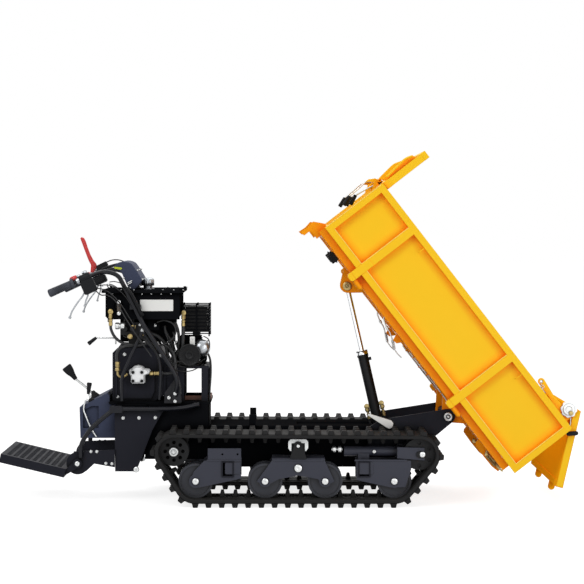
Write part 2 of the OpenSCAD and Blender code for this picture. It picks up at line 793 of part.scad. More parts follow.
// Bent tube from the deck to a grip, with the arm that ties it to the tank
module handlebar(side) {
    path = smooth([[-625, bar_y - 60, deck_z], [-625, bar_y - 30, 600], [-625, bar_y, 690],
        [-713, bar_y, 838], [-807, bar_y, 983], [-906, bar_y, 1179], [-950, bar_y, 1248],
        [-1023, bar_y + 10, 1267], [-1090, grip_y - 12, 1248],
        each [for (t = [2, 1, 0]) grip_start + 25 * t * grip_line]], 3);
    color(DARK) on_side(side) {
        tube(path, bar_r, 10);
        box([-880, tank_half, 1060], [-820, bar_y, 1085]);
    }
}
module handlebar_left() { handlebar(1); }
module handlebar_right() { handlebar(-1); }

// Round grips on the ends of the handlebars
module grips() {
    color(RUBBER) both_sides() translate(grip_start - seat * grip_line) rotate([0, -90 - grip_slope, 0])
        cylinder(h = 145, r = grip_r);
}

// Switch housings that hang under the bars beside the grips
module switch_boxes() {
    color(RUBBER) both_sides() translate(grip_start + 45 * grip_line) rotate([0, -grip_slope, 0])
        box([-34, -18, -bar_r - seat - 60], [34, 18, -bar_r - seat]);
}

// Stands what follows on point a, pointing at point b
module aim(a, b) {
    d = b - a;
    translate(a) rotate([0, acos(d[2] / norm(d)), atan2(d[1], d[0])]) children();
}

// Straight round rod between two points
module rod(a, b, r) {
    aim(a, b) cylinder(h = norm(b - a), r = r);
}

// Rod with a round knob at its far end, turned in one piece
module knob_rod(a, b, r, knob_r) {
    l = norm(b - a);
    aim(a, b) rotate_extrude() polygon([[0, 0], [r, 0], [r, l - sqrt(knob_r * knob_r - r * r)],
        for (t = [-45:15:75]) [knob_r * cos(t), l + knob_r * sin(t)], [0, l + knob_r]]);
}

// Red clutch lever on the cowl, and shift levers with round knobs
module control_levers() {
    color(RED) {
        rod([-984 - 4 * seat, 0, 1288], [-1098, 0, 1275], 7);
        translate([-1098, 0, 1275]) sphere(9);
        knob_rod([-1098, 0, 1275], [-1166, 0, 1434], 6, 18);
    }
    color(RUBBER) for (l = lever_table)
        knob_rod([l[0], l[1], l[2]], [l[0] - l[3], l[1], l[2] + l[4]], 6, l[5]);
}

// Curved cover over the controls, drawn as arcs: crown, brow and open throat
module cowl() {
    color(SLATE) difference() {
        slab(-150, 150) difference() {
            union() {
                translate([cowl_x, cowl_z]) circle(cowl_r);
                translate([-984, 1272]) square([52, 50]);
                translate([-900, lid_z + seat]) square([66, 50]);
            }
            translate([-984, 1180]) circle(72);
            translate([-1100, 1100]) square([300, lid_z + seat - 1100]);
            translate([-984 - 60, 1150]) square([60, 300]);
            translate([-984, cowl_z + cowl_r]) square([60, 40]);
        }
        both_sides() slab(120, 151) translate([cowl_x, cowl_z]) circle(70);
    }
}

// Lever console at the back, with a sloping top and a window in its near side
module console() {
    color(DARK) difference() {
        slab(-160, 160) polygon([[-1161, 343], [-960 - seat, 343], [-960 - seat, deck_z - deck_t - seat],
            [-1000 - seat, deck_z - deck_t - seat], [-1000 - seat, 575], [-1012, 592], [-1166, 513]]);
        slab(-161, -148) polygon([[-1146, 398], [-1060, 398], [-1060, 520], [-1100, 520], [-1146, 496]]);
    }
}

// Bent tube on each side that keeps feet and clothes off the tracks
module guard_rail() {
    path = smooth([[-1150, 243, 246], [-1145, 243, 320], [-1100, 243, 395], [-962, 243, 521],
        [-711, 243, 521], [-560, 214, 530], [-500, 203, 532]], 3);
    color(DARK) both_sides() tube(path, bar_r, 8);
}

// Air-cooled engine: crankcase, blower housing, finned barrel and head, and carburettor
module engine() {
    color(RUBBER) {
        translate([engine_x, 0, stand_top]) {
            slab(-105, 95) polygon([[-80, 0], [80, 0], [88, 18], [88, 70], [60, 96], [-60, 96], [-88, 70],
                [-88, 18]]);
            difference() {
                cross_bar(0, 62, -172, -105 + eps, 60);
                cross_bar(0, 62, -168, -112, 54);
                for (a = [0:30:330]) cross_bar(38 * cos(a), 62 + 38 * sin(a), -180, -160, 7);
            }
            cross_bar(0, 62, -150, -105 + eps, 30);
            box([-48, -70, 96 - eps], [48, 60, head_top]);
            for (k = [0:fin_count - 1]) let(z = 98 + k * fin_pitch)
                box([-70 + k * 2, -88, z], [70 - k * 2, 76, z + fin_t]);
        }
    }
}

// Silencer body on its two feet, with a short tail pipe
module muffler() {
    color(GREY) translate([muffler_x, 0, muffler_z]) {
        slab(-62, 78) hull() for (dx = [-40, 40], dz = [-52, 52]) translate([dx, dz]) circle(20, $fn = 24);
        for (y = [-40, 50]) box([-20, y, muffler_foot_z - muffler_z], [20, y + 12, -70]);
        translate([30, 78 - eps, 30]) rotate([-90, 0, 0]) cylinder(h = 12, r = 14);
    }
}

// Cage of flat bars round the silencer
module muffler_guard() {
    dx = 78;
    dz = 86;
    bar_places = [for (k = [0:guard_bars - 1]) -dz + 6 + k * (2 * dz - 12) / (guard_bars - 1)];
    color(ZINC) translate([muffler_x, 0, muffler_z]) {
        for (y = [-86, 92]) slab(y, y + 4) {
            for (z = bar_places) translate([-dx, z - 3]) square([2 * dx, 6]);
            for (x = [-dx, 0, dx - 8]) translate([x, -dz]) square([8, 2 * dz]);
        }
        for (x = [-dx, dx - 4], z = bar_places) box([x, -86, z - 3], [x + 4, 96, z + 3]);
        for (x = [-dx, dx - 8], y = [-86, 88]) box([x, y, muffler_foot_z - muffler_z], [x + 8, y + 8, dz]);
        for (z = [-42, 42]) {
            cross_bar(4, z, -83, -62 - seat, 7);
            cross_bar(4, z, 78 + seat, 93, 7);
        }
    }
}

// Four legs and a plate that carry the engine over the deck
module engine_stand() {
    color(DARK) {
        box([-628, -150, stand_top - 14], [-450, 150, stand_top]);
        for (x = [-622, -490], y = [-150, 115]) difference() {
            box([x, y, deck_z], [x + 35, y + 35, stand_top - 14 + eps]);
            box([x + 5, y + (y < 0 ? 5 : -eps), deck_z + 8],
                [x + 35 + eps, y + (y < 0 ? 35 + eps : 30), stand_top - 20]);
        }
        box([-586, -90, deck_z], [-444, 90, deck_z + 25]);
    }
}

// Oil hoses between the pump and the valve block, and the fuel hose of the engine
module hoses() {
    color(RUBBER) for (h = hose_table) tube(smooth(h[1], 4), h[0], 8, h[2]);
}

// Floor sheet, cut out round the headboard and the corner posts
module bed_floor() {
    color(ORANGE) in_bed() difference() {
        box([rail_w, -floor_half, -sheet_t], [bed_rear, floor_half, 0]);
        both_sides() box([post_u, floor_half - post_w, -sheet_t - eps], [gate_u, floor_half + eps, eps]);
    }
}

// Channel frame under the floor, hinge lugs and the ears of the cylinder's eye
module bed_frame() {
    y = 170;
    color(ORANGE) in_bed() {
        both_sides() {
            box([0, floor_half - 40, -floor_frame_h], [bed_rear, floor_half, -sheet_t]);
            box([0, rest_y - 25, -floor_frame_h], [bed_rear, rest_y + 25, -sheet_t]);
        }
        for (u = [0, 300, 700, 1000, 1245, gate_u - 45])
            box([u, -floor_half, -floor_frame_h], [u + 40, floor_half, -sheet_t]);
        both_sides() {
            difference() {
                slab(y, y + 12) {
                    polygon([[1130, -floor_frame_h], [1340, -floor_frame_h],
                        [pivot_u + 30, -pivot_drop - 18], [pivot_u - 30, -pivot_drop - 18]]);
                    translate([pivot_u, -pivot_drop]) circle(35);
                }
                cross_bar(pivot_u, -pivot_drop, -400, 400, bed_pin_r + fit);
            }
            slab(24, 36) {
                polygon([[250, -floor_frame_h], [430, -floor_frame_h], [eye_u + 30, -eye_drop - 25],
                    [eye_u - 30, -eye_drop - 25]]);
                translate([eye_u, -eye_drop]) circle(38);
            }
        }
        for (u = rib_places) both_sides() difference() {
            union() {
                cross_bar_u(u + rib_w / 2 + 1, u + rib_w / 2 + 55, side_hinge_y, -side_hinge_drop,
                    side_barrel_r);
                box([u + rib_w / 2 + 4, floor_half - 20, -side_hinge_drop - 12],
                    [u + rib_w / 2 + 52, side_hinge_y, -floor_frame_h]);
            }
            cross_bar_u(u, u + 100, side_hinge_y, -side_hinge_drop, side_pin_r + fit);
        }
    }
}

// Round bar along the bed from u0 to u1
module cross_bar_u(u0, u1, y, n, r) {
    translate([u0, y, n]) rotate([0, 90, 0]) cylinder(h = u1 - u0, r = r);
}

// Front wall with pressed panels, and the leaning guard above it with its own ribs
module headboard() {
    color(YELLOW) in_bed() {
        difference() {
            box([0, -floor_half, -sheet_t], [rail_w, floor_half, side_h + 6]);
            for (k = [0:2]) let(y = -floor_half + 30 + k * (2 * floor_half - 30) / 3)
                box([-eps, y, 34], [rail_w - sheet_t, y + (2 * floor_half - 30) / 3 - 30, side_h - 30]);
        }
        translate([0, 0, side_h + 6]) rotate([0, guard_lean, 0]) {
            difference() {
                box([-8, -floor_half, -6], [rail_w, floor_half, guard_top - side_h - 6]);
                for (k = [0:2]) let(y = -floor_half + 26 + k * (2 * floor_half - 26) / 3)
                    box([-9, y, 26], [rail_w - sheet_t, y + (2 * floor_half - 26) / 3 - 26,
                        guard_top - side_h - 36]);
            }
            both_sides() slab(floor_half - 8, floor_half)
                polygon([[-8, 20], [-44, 50], [-44, 150], [-8, 190]]);
        }
    }
    y = floor_half - 20;
    color(ZINC) in_bed() both_sides()
        tube(smooth([[-50, y, 60], [-52, y, 124], [-46, y, 190], [-20, y, 214], [-seat, y, 216]], 3), 5, 8);
}

// Corner posts inside the drop sides, with the arms that carry the tailgate's pins and the side latches
module rear_posts() {
    color(YELLOW) in_bed() both_sides() {
        difference() {
            box([post_u, floor_half - post_w, -sheet_t], [bed_rear, floor_half, gate_pivot_n + 20]);
            box([post_u + 4, floor_half - post_w - eps, 4],
                [bed_rear - 4, floor_half - 4, gate_pivot_n - 30]);
        }
        slab(floor_half - 10, floor_half) difference() {
            union() {
                hull() {
                    translate(latch_ring) circle(18, $fn = 32);
                    translate(latch_bend) circle(12, $fn = 32);
                }
                hull() {
                    translate(latch_bend) circle(12, $fn = 32);
                    translate([gate_pivot_u, gate_pivot_n]) circle(26, $fn = 32);
                    translate([1586, 396]) circle(14, $fn = 32);
                }
            }
            translate(latch_ring) circle(9);
        }
        cross_bar(gate_pivot_u, gate_pivot_n, floor_half - 56, floor_half - 10 + eps, gate_pin_r);
    }
}

// Rubber rests, front hook, and the catch under the discharge end
module bed_fittings() {
    color(RUBBER) in_bed() {
        both_sides() difference() {
            box([buffer_u - 27, rest_y - 21, -floor_frame_h - buffer_h],
                [buffer_u + 27, rest_y + 21, -floor_frame_h]);
            for (u = [buffer_u - 27, buffer_u + 27]) slab(rest_y - 22, rest_y + 22)
                translate([u, -floor_frame_h - buffer_h / 2]) circle(7);
        }
    }
    color(ORANGE) in_bed() both_sides() {
        slab(floor_half - 60, floor_half - 50) difference() {
            polygon([[-4, -floor_frame_h], [40, -floor_frame_h], [20, -70], [-30, -118], [-62, -131],
                [-70, -112], [-40, -92], [-14, -60]]);
            translate([4, -56]) circle(6);
        }
    }
    color(ZINC) in_bed() both_sides() {
        slab(catch_y, catch_y + 10) difference() {
            polygon([[1390, -floor_frame_h], [1600, -floor_frame_h], [1606, -62], [1584, -96], [1556, -104],
                [1540, -86], [1500, -78], [1430, -74]]);
            translate([1572, -78]) circle(10);
        }
        cross_bar(1470, -58, catch_y - 12, catch_y + 22, 11);
    }
}

// Drop side: rails, upright ribs with feet, and a recessed sheet
module side_panel(side) {
    y1 = side_in + side_t;
    color(YELLOW) in_bed() on_side(side) {
        difference() {
            box([0, side_in, 0], [bed_len, y1, side_h]);
            box([rail_w, side_in + sheet_t, rail_w], [bed_len - rail_w, y1 + eps, side_h - rail_w]);
            for (u = [0, bed_len]) slab(side_in - eps, y1 + eps) translate([u, side_h]) circle(9, $fn = 4);
        }
        for (u = rib_places) {
            box([u - rib_w / 2, side_in, 0], [u + rib_w / 2, y1, side_h]);
            difference() {
                box([u - rib_w / 2, side_hinge_y - side_barrel_r, side_foot_n], [u + rib_w / 2, y1, eps]);
                slab(0, y1 + eps) for (e = [-1, 1])
                    translate([u + e * rib_w / 2, side_foot_n]) circle(10, $fn = 4);
            }
            cross_bar_u(u, u + rib_w / 2 + 62, side_hinge_y, -side_hinge_drop, side_pin_r);
        }
    }
}
module side_left() { side_panel(1); }
module side_right() { side_panel(-1); }

// Top-hung door, drawn closed and swung open about its pivot
module tailgate() {
    top = 425;
    arm_y = floor_half - 41;
    color(YELLOW) in_bed() translate([gate_pivot_u, 0, gate_pivot_n]) rotate([0, -gate_open, 0])
        translate([-gate_pivot_u, 0, -gate_pivot_n]) {
        difference() {
            box([gate_u, -gate_half, 0], [gate_u + gate_t, gate_half, top]);
            for (k = [0:2]) let(w = (2 * gate_half - rail_w) / 3, y = -gate_half + rail_w + k * w)
                box([gate_u + sheet_t, y, rail_w], [gate_u + gate_t + eps, y + w - rail_w, top - rail_w]);
        }
        for (s = [-1, 1]) slab(s * gate_half * 0.52 - 6, s * gate_half * 0.52 + 6) {
            translate([gate_u + 16, -28]) circle(18);
            translate([gate_u - 2, -28]) square([36, 40]);
        }
        both_sides() difference() {
            slab(arm_y - 10, arm_y) {
                polygon([[gate_u + 2, top - 90], [gate_u + 2, top], [gate_u - 10, top],
                    [gate_pivot_u, gate_pivot_n + 22], [gate_pivot_u, gate_pivot_n - 22],
                    [gate_u - 30, gate_pivot_n - 26]]);
                translate([gate_pivot_u, gate_pivot_n]) circle(22);
            }
            cross_bar(gate_pivot_u, gate_pivot_n, 0, floor_half, gate_pin_r + fit);
        }
    }
}

// Cylinder tube with its eye, gland nut and two oil ports
module cylinder_barrel() {
    color(DARK) in_ram() {
        difference() {
            union() {
                translate([0, 0, 26]) cylinder(h = barrel_len - 26, r = barrel_r);
                translate([0, 0, barrel_len - 34]) cylinder(h = 34, r = barrel_r + 3);
                translate([0, 0, 22]) cylinder(h = 24, r = barrel_r + 2);
                cross_bar(0, 0, -32, 32, 28);
                for (z = [70, barrel_len - 52]) translate([barrel_r - 4, 0, z]) rotate([0, 90, 0])
                    cylinder(h = 18, r = 9);
            }
            translate([0, 0, 45]) cylinder(h = barrel_len - 25 - 45, r = barrel_bore);
            translate([0, 0, barrel_len - 26]) cylinder(h = 30, r = rod_r + fit);
        }
        cross_bar(0, 0, -trunnion_half, trunnion_half, ram_pin_r);
    }
}

// Chromed rod with its piston inside the barrel and the eye at its end
module cylinder_rod() {
    color(ZINC) in_ram() {
        translate([0, 0, piston_z]) cylinder(h = piston_h, r = barrel_bore - fit);
        translate([0, 0, piston_z]) cylinder(h = ram_len - piston_z - rod_eye_r + 6, r = rod_r);
        cross_bar(0, ram_len, -18, 18, rod_eye_r);
    }
}

main_frame();
cross_tubes();
hinge_plates();
track_left();
track_right();
sprocket_left();
sprocket_right();
idler_left();
idler_right();
road_rollers_left();
road_rollers_right();
roller_brackets_left();
roller_brackets_right();
bogie_left();
bogie_right();
carrier_rollers();
tensioners();
station_plates();
gearbox();
gear_pump();
hydraulic_tank();
valve_block();
handlebar_left();
handlebar_right();
grips();
switch_boxes();
control_levers();
cowl();
console();
guard_rail();
engine();
muffler();
muffler_guard();
engine_stand();
hoses();
bed_floor();
bed_frame();
headboard();
rear_posts();
bed_fittings();
side_left();
side_right();
tailgate();
cylinder_barrel();
cylinder_rod();
platform();
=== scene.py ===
# %% [markdown]
# # A tracked dumper with its bed tipped, dressed around a CAD frame
# The CAD model brings every steel part at its real size. This script adds what a camera notices
# next: paint, rubber and plated metal as procedural materials, and the small pieces such as bolts,
# hoses, cables, levers and latches. All shapes are written in millimetres in the machine's own
# frame: X towards the discharge end, Y to the operator's left, Z up from the ground.

import bmesh
import bpy
import numpy as np
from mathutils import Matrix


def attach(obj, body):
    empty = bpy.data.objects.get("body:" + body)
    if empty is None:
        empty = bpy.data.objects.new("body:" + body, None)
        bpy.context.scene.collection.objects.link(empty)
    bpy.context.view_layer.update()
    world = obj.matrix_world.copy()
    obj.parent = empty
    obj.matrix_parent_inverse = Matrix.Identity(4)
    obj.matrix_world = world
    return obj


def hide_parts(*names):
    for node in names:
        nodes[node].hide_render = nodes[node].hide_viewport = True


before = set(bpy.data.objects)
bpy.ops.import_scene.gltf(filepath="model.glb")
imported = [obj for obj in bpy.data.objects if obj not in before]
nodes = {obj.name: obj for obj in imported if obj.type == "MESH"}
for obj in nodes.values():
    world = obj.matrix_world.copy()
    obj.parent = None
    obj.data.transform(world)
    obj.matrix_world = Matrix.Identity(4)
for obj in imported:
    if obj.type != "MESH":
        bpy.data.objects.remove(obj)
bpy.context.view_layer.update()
MM = 0.001
print("CAD nodes:", len(nodes))

# %% [markdown]
# ## Shapes as arrays
# A shape is a pair: an array of points and a list of faces. Most shapes here are grids, where a
# ring of points is carried along a path or turned round an axis, so one function that joins
# neighbouring grid points serves them all, and numpy computes all points at once.


# %% Grids, copies and turns
def grid_faces(rows, columns, loop=False):
    """Quads between neighbours of a grid whose columns close on themselves; loop closes the rows too."""
    row = np.arange(rows if loop else rows - 1)[:, None]
    column = np.arange(columns)
    after = (column + 1) % columns
    upper = (row + 1) % rows * columns
    return np.stack([row * columns + column, row * columns + after, upper + after, upper + column],
                    -1).reshape(-1, 4).tolist()


def joined(*shapes):
    """Several shapes as one: each shape's faces count on from the points before them."""
    starts = np.cumsum([0] + [len(points) for points, _ in shapes])
    faces = [[i + int(start) for i in face] for start, (_, group) in zip(starts, shapes) for face in group]
    return np.concatenate([points for points, _ in shapes]), faces


def toward(direction):
    """Rotation matrix that carries +Z onto the given direction."""
    z = np.array(direction, float) / np.linalg.norm(direction)
    x = np.cross((0, 1, 0) if abs(z[1]) < 0.9 else (1, 0, 0), z)
    x /= np.linalg.norm(x)
    return np.stack([x, np.cross(z, x), z], 1)


def both_ways(draw):
    """A shape drawn for each sign of one measure, as one."""
    return joined(*[draw(sign) for sign in (-1, 1)])


def copies(shape, places, direction=(0, 0, 1)):
    """The shape, drawn along +Z, pointed along a direction and set down at every place."""
    points, faces = shape
    turned = points @ toward(direction).T
    return joined(*[(turned + place, faces) for place in np.array(places, float)])


def mirrored(shape):
    """The shape's twin on the other side of the machine: y changes sign, faces turn round."""
    points, faces = shape
    return points * (1, -1, 1), [face[::-1] for face in faces]


def both_sides(shape):
    """The shape and its twin."""
    return joined(shape, mirrored(shape))


SIDES = (("left", lambda shape: shape), ("right", mirrored))


# %% Profiles turned, swept and extruded
def lathe(profile, centre=(0, 0, 0), axis=(0, 0, 1), sides=32, loop=False):
    """Surface of revolution: profile point (r, h) goes to (r cos a, r sin a, h) round the axis."""
    r, h = np.array(profile, float).T
    a = np.linspace(0, 2 * np.pi, sides, endpoint=False)
    points = np.stack([np.outer(r, np.cos(a)), np.outer(r, np.sin(a)), np.outer(h, np.ones(sides))], -1)
    faces = grid_faces(len(r), sides, loop)
    if not loop:
        faces += [list(range(sides))[::-1], [(len(r) - 1) * sides + i for i in range(sides)]]
    return points.reshape(-1, 3) @ toward(axis).T + np.array(centre, float), faces


def curve(route, steps=6):
    """Catmull-Rom curve: a cubic between each two points that leans on their neighbours."""
    p = np.array(route, float)
    q = np.vstack([p[:1], p, p[-1:]])
    a, b, c, d = q[:-3, None], q[1:-2, None], q[2:-1, None], q[3:, None]
    t = np.linspace(0, 1, steps, endpoint=False)[None, :, None]
    slope, bend, twist = c - a, 2 * a - 5 * b + 4 * c - d, 3 * b - a - 3 * c + d
    points = 0.5 * (2 * b + slope * t + bend * t**2 + twist * t**3)
    return np.vstack([points.reshape(-1, 3), p[-1:]])


def tube(route, radius, sides=12, steps=6, flat=(0, 1, 0)):
    """Ring of a given radius carried along a curve; flat is a direction that the curve never takes."""
    path = curve(route, steps) if steps > 1 else np.array(route, float)
    t = np.gradient(path, axis=0)
    t /= np.linalg.norm(t, axis=1, keepdims=True)
    side = np.cross(flat, t)
    side /= np.linalg.norm(side, axis=1, keepdims=True)
    up = np.cross(t, side)
    a = np.linspace(0, 2 * np.pi, sides, endpoint=False)[None, :, None]
    r = np.broadcast_to(radius, len(path))[:, None, None]
    points = path[:, None] + r * (np.cos(a) * side[:, None] + np.sin(a) * up[:, None])
    last = (len(path) - 1) * sides
    caps = [list(range(sides))[::-1], [last + i for i in range(sides)]]
    return points.reshape(-1, 3), grid_faces(len(path), sides) + caps


def prism(outline, y0, y1):
    """Outline in the side view, (x, z) pairs, carried across from y0 to y1."""
    flat = np.array(outline, float)
    n = len(flat)
    ends = [np.insert(flat, 1, y, axis=1) for y in (y0, y1)]
    return np.concatenate(ends), grid_faces(2, n) + [list(range(n))[::-1], list(range(n, 2 * n))]


def slab(low, high):
    """Box between two corners, as a prism."""
    (x0, y0, z0), (x1, y1, z1) = low, high
    return prism([(x0, z0), (x1, z0), (x1, z1), (x0, z1)], y0, y1)


def rounded(x0, z0, x1, z1, r, steps=5):
    """Outline of a rectangle whose corners are quarter circles."""
    a = np.linspace(0, np.pi / 2, steps)
    arcs = [
        np.stack([cx + r * np.cos(a + turn), cz + r * np.sin(a + turn)], 1)
        for cx, cz, turn in (
            (x1 - r, z1 - r, 0), (x0 + r, z1 - r, np.pi / 2), (x0 + r, z0 + r, np.pi),
            (x1 - r, z0 + r, 1.5 * np.pi)
        )
    ]
    return np.concatenate(arcs)


# %% [markdown]
# ## The tipped bed and the cylinder have frames of their own
# Along the bed it is easier to measure from its front corner: u along the floor, n up out of it.
# One rotation about the bed's pivot carries such a shape into the machine's frame.

# %% Frames of the bed and the cylinder
BED_TILT = np.radians(52.3)
PIVOT = np.array([874, 0, 467])
PIVOT_U, PIVOT_DROP = 1245, 94
RAM_FOOT = np.array([516, 0, 339])
ROD_EYE = np.array([343, 0, -92])


def pitch(angle):
    """Rotation matrix about Y that carries +X down towards -Z by the angle."""
    c, s = np.cos(angle), np.sin(angle)
    return np.array([[c, 0, s], [0, 1, 0], [-s, 0, c]])


def in_bed(shape):
    """Bed point (u, y, n) carried to the machine: moved to the pivot and turned by the bed's tilt."""
    points, faces = shape
    return (points + (-PIVOT_U, 0, PIVOT_DROP)) @ pitch(BED_TILT).T + PIVOT, faces


eye = in_bed((ROD_EYE[None].astype(float), []))[0][0]
RAM_ANGLE = np.arctan2(eye[0] - RAM_FOOT[0], eye[2] - RAM_FOOT[2])


def in_ram(shape):
    """Cylinder point, its line along +Z from the foot pin, carried to the machine."""
    points, faces = shape
    return points @ pitch(RAM_ANGLE).T + RAM_FOOT, faces


print("rod eye at", eye.round(0), "cylinder leans", np.degrees(RAM_ANGLE).round(1))


# %% [markdown]
# ## One way to hang a piece on the machine
# Every piece becomes a mesh at the origin, gets outward normals, a material and a body that it rides
# on. Corners sharper than forty degrees stay sharp, or get a small bevel.


# %% Make a piece
SHARP = np.radians(40)


def piece(name, shape, material, body, bevel=0.0):
    """Object at the origin with one finish, riding on a body and named as given."""
    points, faces = shape
    mesh = bpy.data.meshes.new(name)
    mesh.from_pydata((points * MM).tolist(), [], faces)
    work = bmesh.new()
    work.from_mesh(mesh)
    bmesh.ops.remove_doubles(work, verts=work.verts, dist=2e-6)
    bmesh.ops.recalc_face_normals(work, faces=work.faces)
    work.to_mesh(mesh)
    work.free()
    mesh.shade_smooth()
    mesh.set_sharp_from_angle(angle=SHARP)
    mesh.materials.append(material)
    thing = bpy.data.objects.new(name, mesh)
    bpy.context.scene.collection.objects.link(thing)
    if bevel:
        edge = thing.modifiers.new("edge", "BEVEL")
        edge.width = bevel * MM
        edge.segments = 2
        edge.limit_method = "ANGLE"
        edge.angle_limit = SHARP
    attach(thing, body)
    print(name, len(mesh.polygons), "faces on", body)
    return thing


# %% [markdown]
# ## Finishes
# Real paint is never one flat colour: it carries a fine orange-peel ripple and collects dust where it
# faces up. One node group works out the colour, the roughness and the ripple from the surface's own
# coordinates and lays painted shade into corners and creases where ambient occlusion finds nearby
# surfaces; a second one rounds the look of hard edges so that they catch a thin line of light, as
# folded and welded steel does.


# %% Group helper
def colour(code):
    """Linear colour from a hex code."""
    c = np.array([int(code[i : i + 2], 16) for i in (1, 3, 5)]) / 255
    return (*np.where(c <= 0.04045, c / 12.92, ((c + 0.055) / 1.055) ** 2.4), 1.0)


def new_group(name, inputs, outputs):
    """Empty node group with its sockets: the tree, what it is given and what it hands out."""
    tree = bpy.data.node_groups.new(name, "ShaderNodeTree")
    for label, kind in inputs:
        tree.interface.new_socket(name=label, in_out="INPUT", socket_type="NodeSocket" + kind)
    for label, kind in outputs:
        tree.interface.new_socket(name=label, in_out="OUTPUT", socket_type="NodeSocket" + kind)
    return tree, tree.nodes.new("NodeGroupInput").outputs, tree.nodes.new("NodeGroupOutput").inputs


def math(tree, operation, a, b):
    """A Math node; each operand is a socket or a number."""
    node = tree.nodes.new("ShaderNodeMath")
    node.operation = operation
    for socket, value in zip(node.inputs, (a, b)):
        if isinstance(value, (int, float)):
            socket.default_value = value
        else:
            tree.links.new(value, socket)
    return node.outputs[0]


def blend(tree, factor, a, b):
    """Colour mix of two sockets."""
    node = tree.nodes.new("ShaderNodeMix")
    node.data_type = "RGBA"
    for socket, value in zip((node.inputs[0], node.inputs[6], node.inputs[7]), (factor, a, b)):
        tree.links.new(value, socket)
    return node.outputs[2]


def noise(tree, scale, detail=3.0):
    """Noise on the piece's own coordinates, in metres, so it never slides when the piece moves."""
    node = tree.nodes.new("ShaderNodeTexNoise")
    node.inputs["Detail"].default_value = detail
    if isinstance(scale, (int, float)):
        node.inputs["Scale"].default_value = scale
    else:
        tree.links.new(scale, node.inputs["Scale"])
    tree.links.new(tree.nodes.new("ShaderNodeTexCoord").outputs["Object"], node.inputs["Vector"])
    return node.outputs["Fac"]


# %% Coating group: colour with painted shade in creases, roughness and ripple
coating, given, out = new_group(
    "coating",
    [("Colour", "Color"), ("Painted shade", "Color"), ("Dust", "Color"), ("Dust amount", "Float"),
     ("Roughness", "Float"), ("Grain scale", "Float"), ("Patch scale", "Float")],
    [("Colour", "Color"), ("Roughness", "Float"), ("Height", "Float")],
)
SHADE_REACH, SHADE_GAIN, LEVEL_DUST, SPREAD = 0.05, 1.5, 0.15, 0.35
# Painted shade: ambient occlusion blends the crease colour into corners and creases, where shade falls.
shade_occlusion = coating.nodes.new("ShaderNodeAmbientOcclusion")
shade_occlusion.samples = 6
shade_occlusion.inputs["Distance"].default_value = SHADE_REACH
shade_depth = math(coating, "SUBTRACT", 1.0, shade_occlusion.outputs["AO"])
painted = blend(coating, math(coating, "MULTIPLY", shade_depth, SHADE_GAIN), given["Colour"], given["Painted shade"])
patch = noise(coating, given["Patch scale"], 5.0)
facing = coating.nodes.new("ShaderNodeSeparateXYZ")
coating.links.new(coating.nodes.new("ShaderNodeNewGeometry").outputs["Normal"], facing.inputs[0])
upward = math(coating, "MAXIMUM", facing.outputs["Z"], LEVEL_DUST)
settled = math(coating, "MULTIPLY", math(coating, "MULTIPLY", patch, upward), given["Dust amount"])
coating.links.new(blend(coating, settled, painted, given["Dust"]), out["Colour"])
spread = math(coating, "MULTIPLY", math(coating, "SUBTRACT", patch, 0.5), SPREAD)
coating.links.new(math(coating, "ADD", given["Roughness"], spread), out["Roughness"])
coating.links.new(noise(coating, given["Grain scale"], 2.0), out["Height"])

# %% Edge group: a rounded normal
rounding, given, out = new_group("rounding", [("Radius", "Float")], [("Normal", "Vector")])
round_edge = rounding.nodes.new("ShaderNodeBevel")
round_edge.samples = 4
rounding.links.new(given["Radius"], round_edge.inputs["Radius"])
rounding.links.new(round_edge.outputs["Normal"], out["Normal"])


# %% A finish: one material made from the two groups
RIPPLE_DEPTH, COAT_ROUGH = 0.0006, 0.12


def finish(name, base, painted_shade=None, rough=0.4, metal=0.0, coat=0.0, dust=0.12, dust_colour="#b9b2a4",
           grain=900.0, ripple=0.08, patch=5.0, edge=1.5, shine=0.5):
    """Principled shader whose colour, roughness and normal come from the coating and rounding groups, with
    a colour of painted shade for corners and creases.
    """
    material = bpy.data.materials.new(name)
    material.use_nodes = True
    tree = material.node_tree
    shader = tree.nodes["Principled BSDF"]
    layer = tree.nodes.new("ShaderNodeGroup")
    layer.node_tree = coating
    values = {"Colour": colour(base), "Painted shade": colour(painted_shade or base), "Dust": colour(dust_colour),
              "Dust amount": dust, "Roughness": rough, "Grain scale": grain, "Patch scale": patch}
    for label, value in values.items():
        layer.inputs[label].default_value = value
    corners = tree.nodes.new("ShaderNodeGroup")
    corners.node_tree = rounding
    corners.inputs["Radius"].default_value = edge * MM
    bump = tree.nodes.new("ShaderNodeBump")
    bump.inputs["Strength"].default_value = ripple
    bump.inputs["Distance"].default_value = RIPPLE_DEPTH
    tree.links.new(layer.outputs["Height"], bump.inputs["Height"])
    tree.links.new(corners.outputs["Normal"], bump.inputs["Normal"])
    tree.links.new(layer.outputs["Colour"], shader.inputs["Base Color"])
    tree.links.new(layer.outputs["Roughness"], shader.inputs["Roughness"])
    tree.links.new(bump.outputs["Normal"], shader.inputs["Normal"])
    shader.inputs["Metallic"].default_value = metal
    shader.inputs["Specular IOR Level"].default_value = shine
    shader.inputs["Coat Weight"].default_value = coat
    shader.inputs["Coat Roughness"].default_value = COAT_ROUGH
    return material
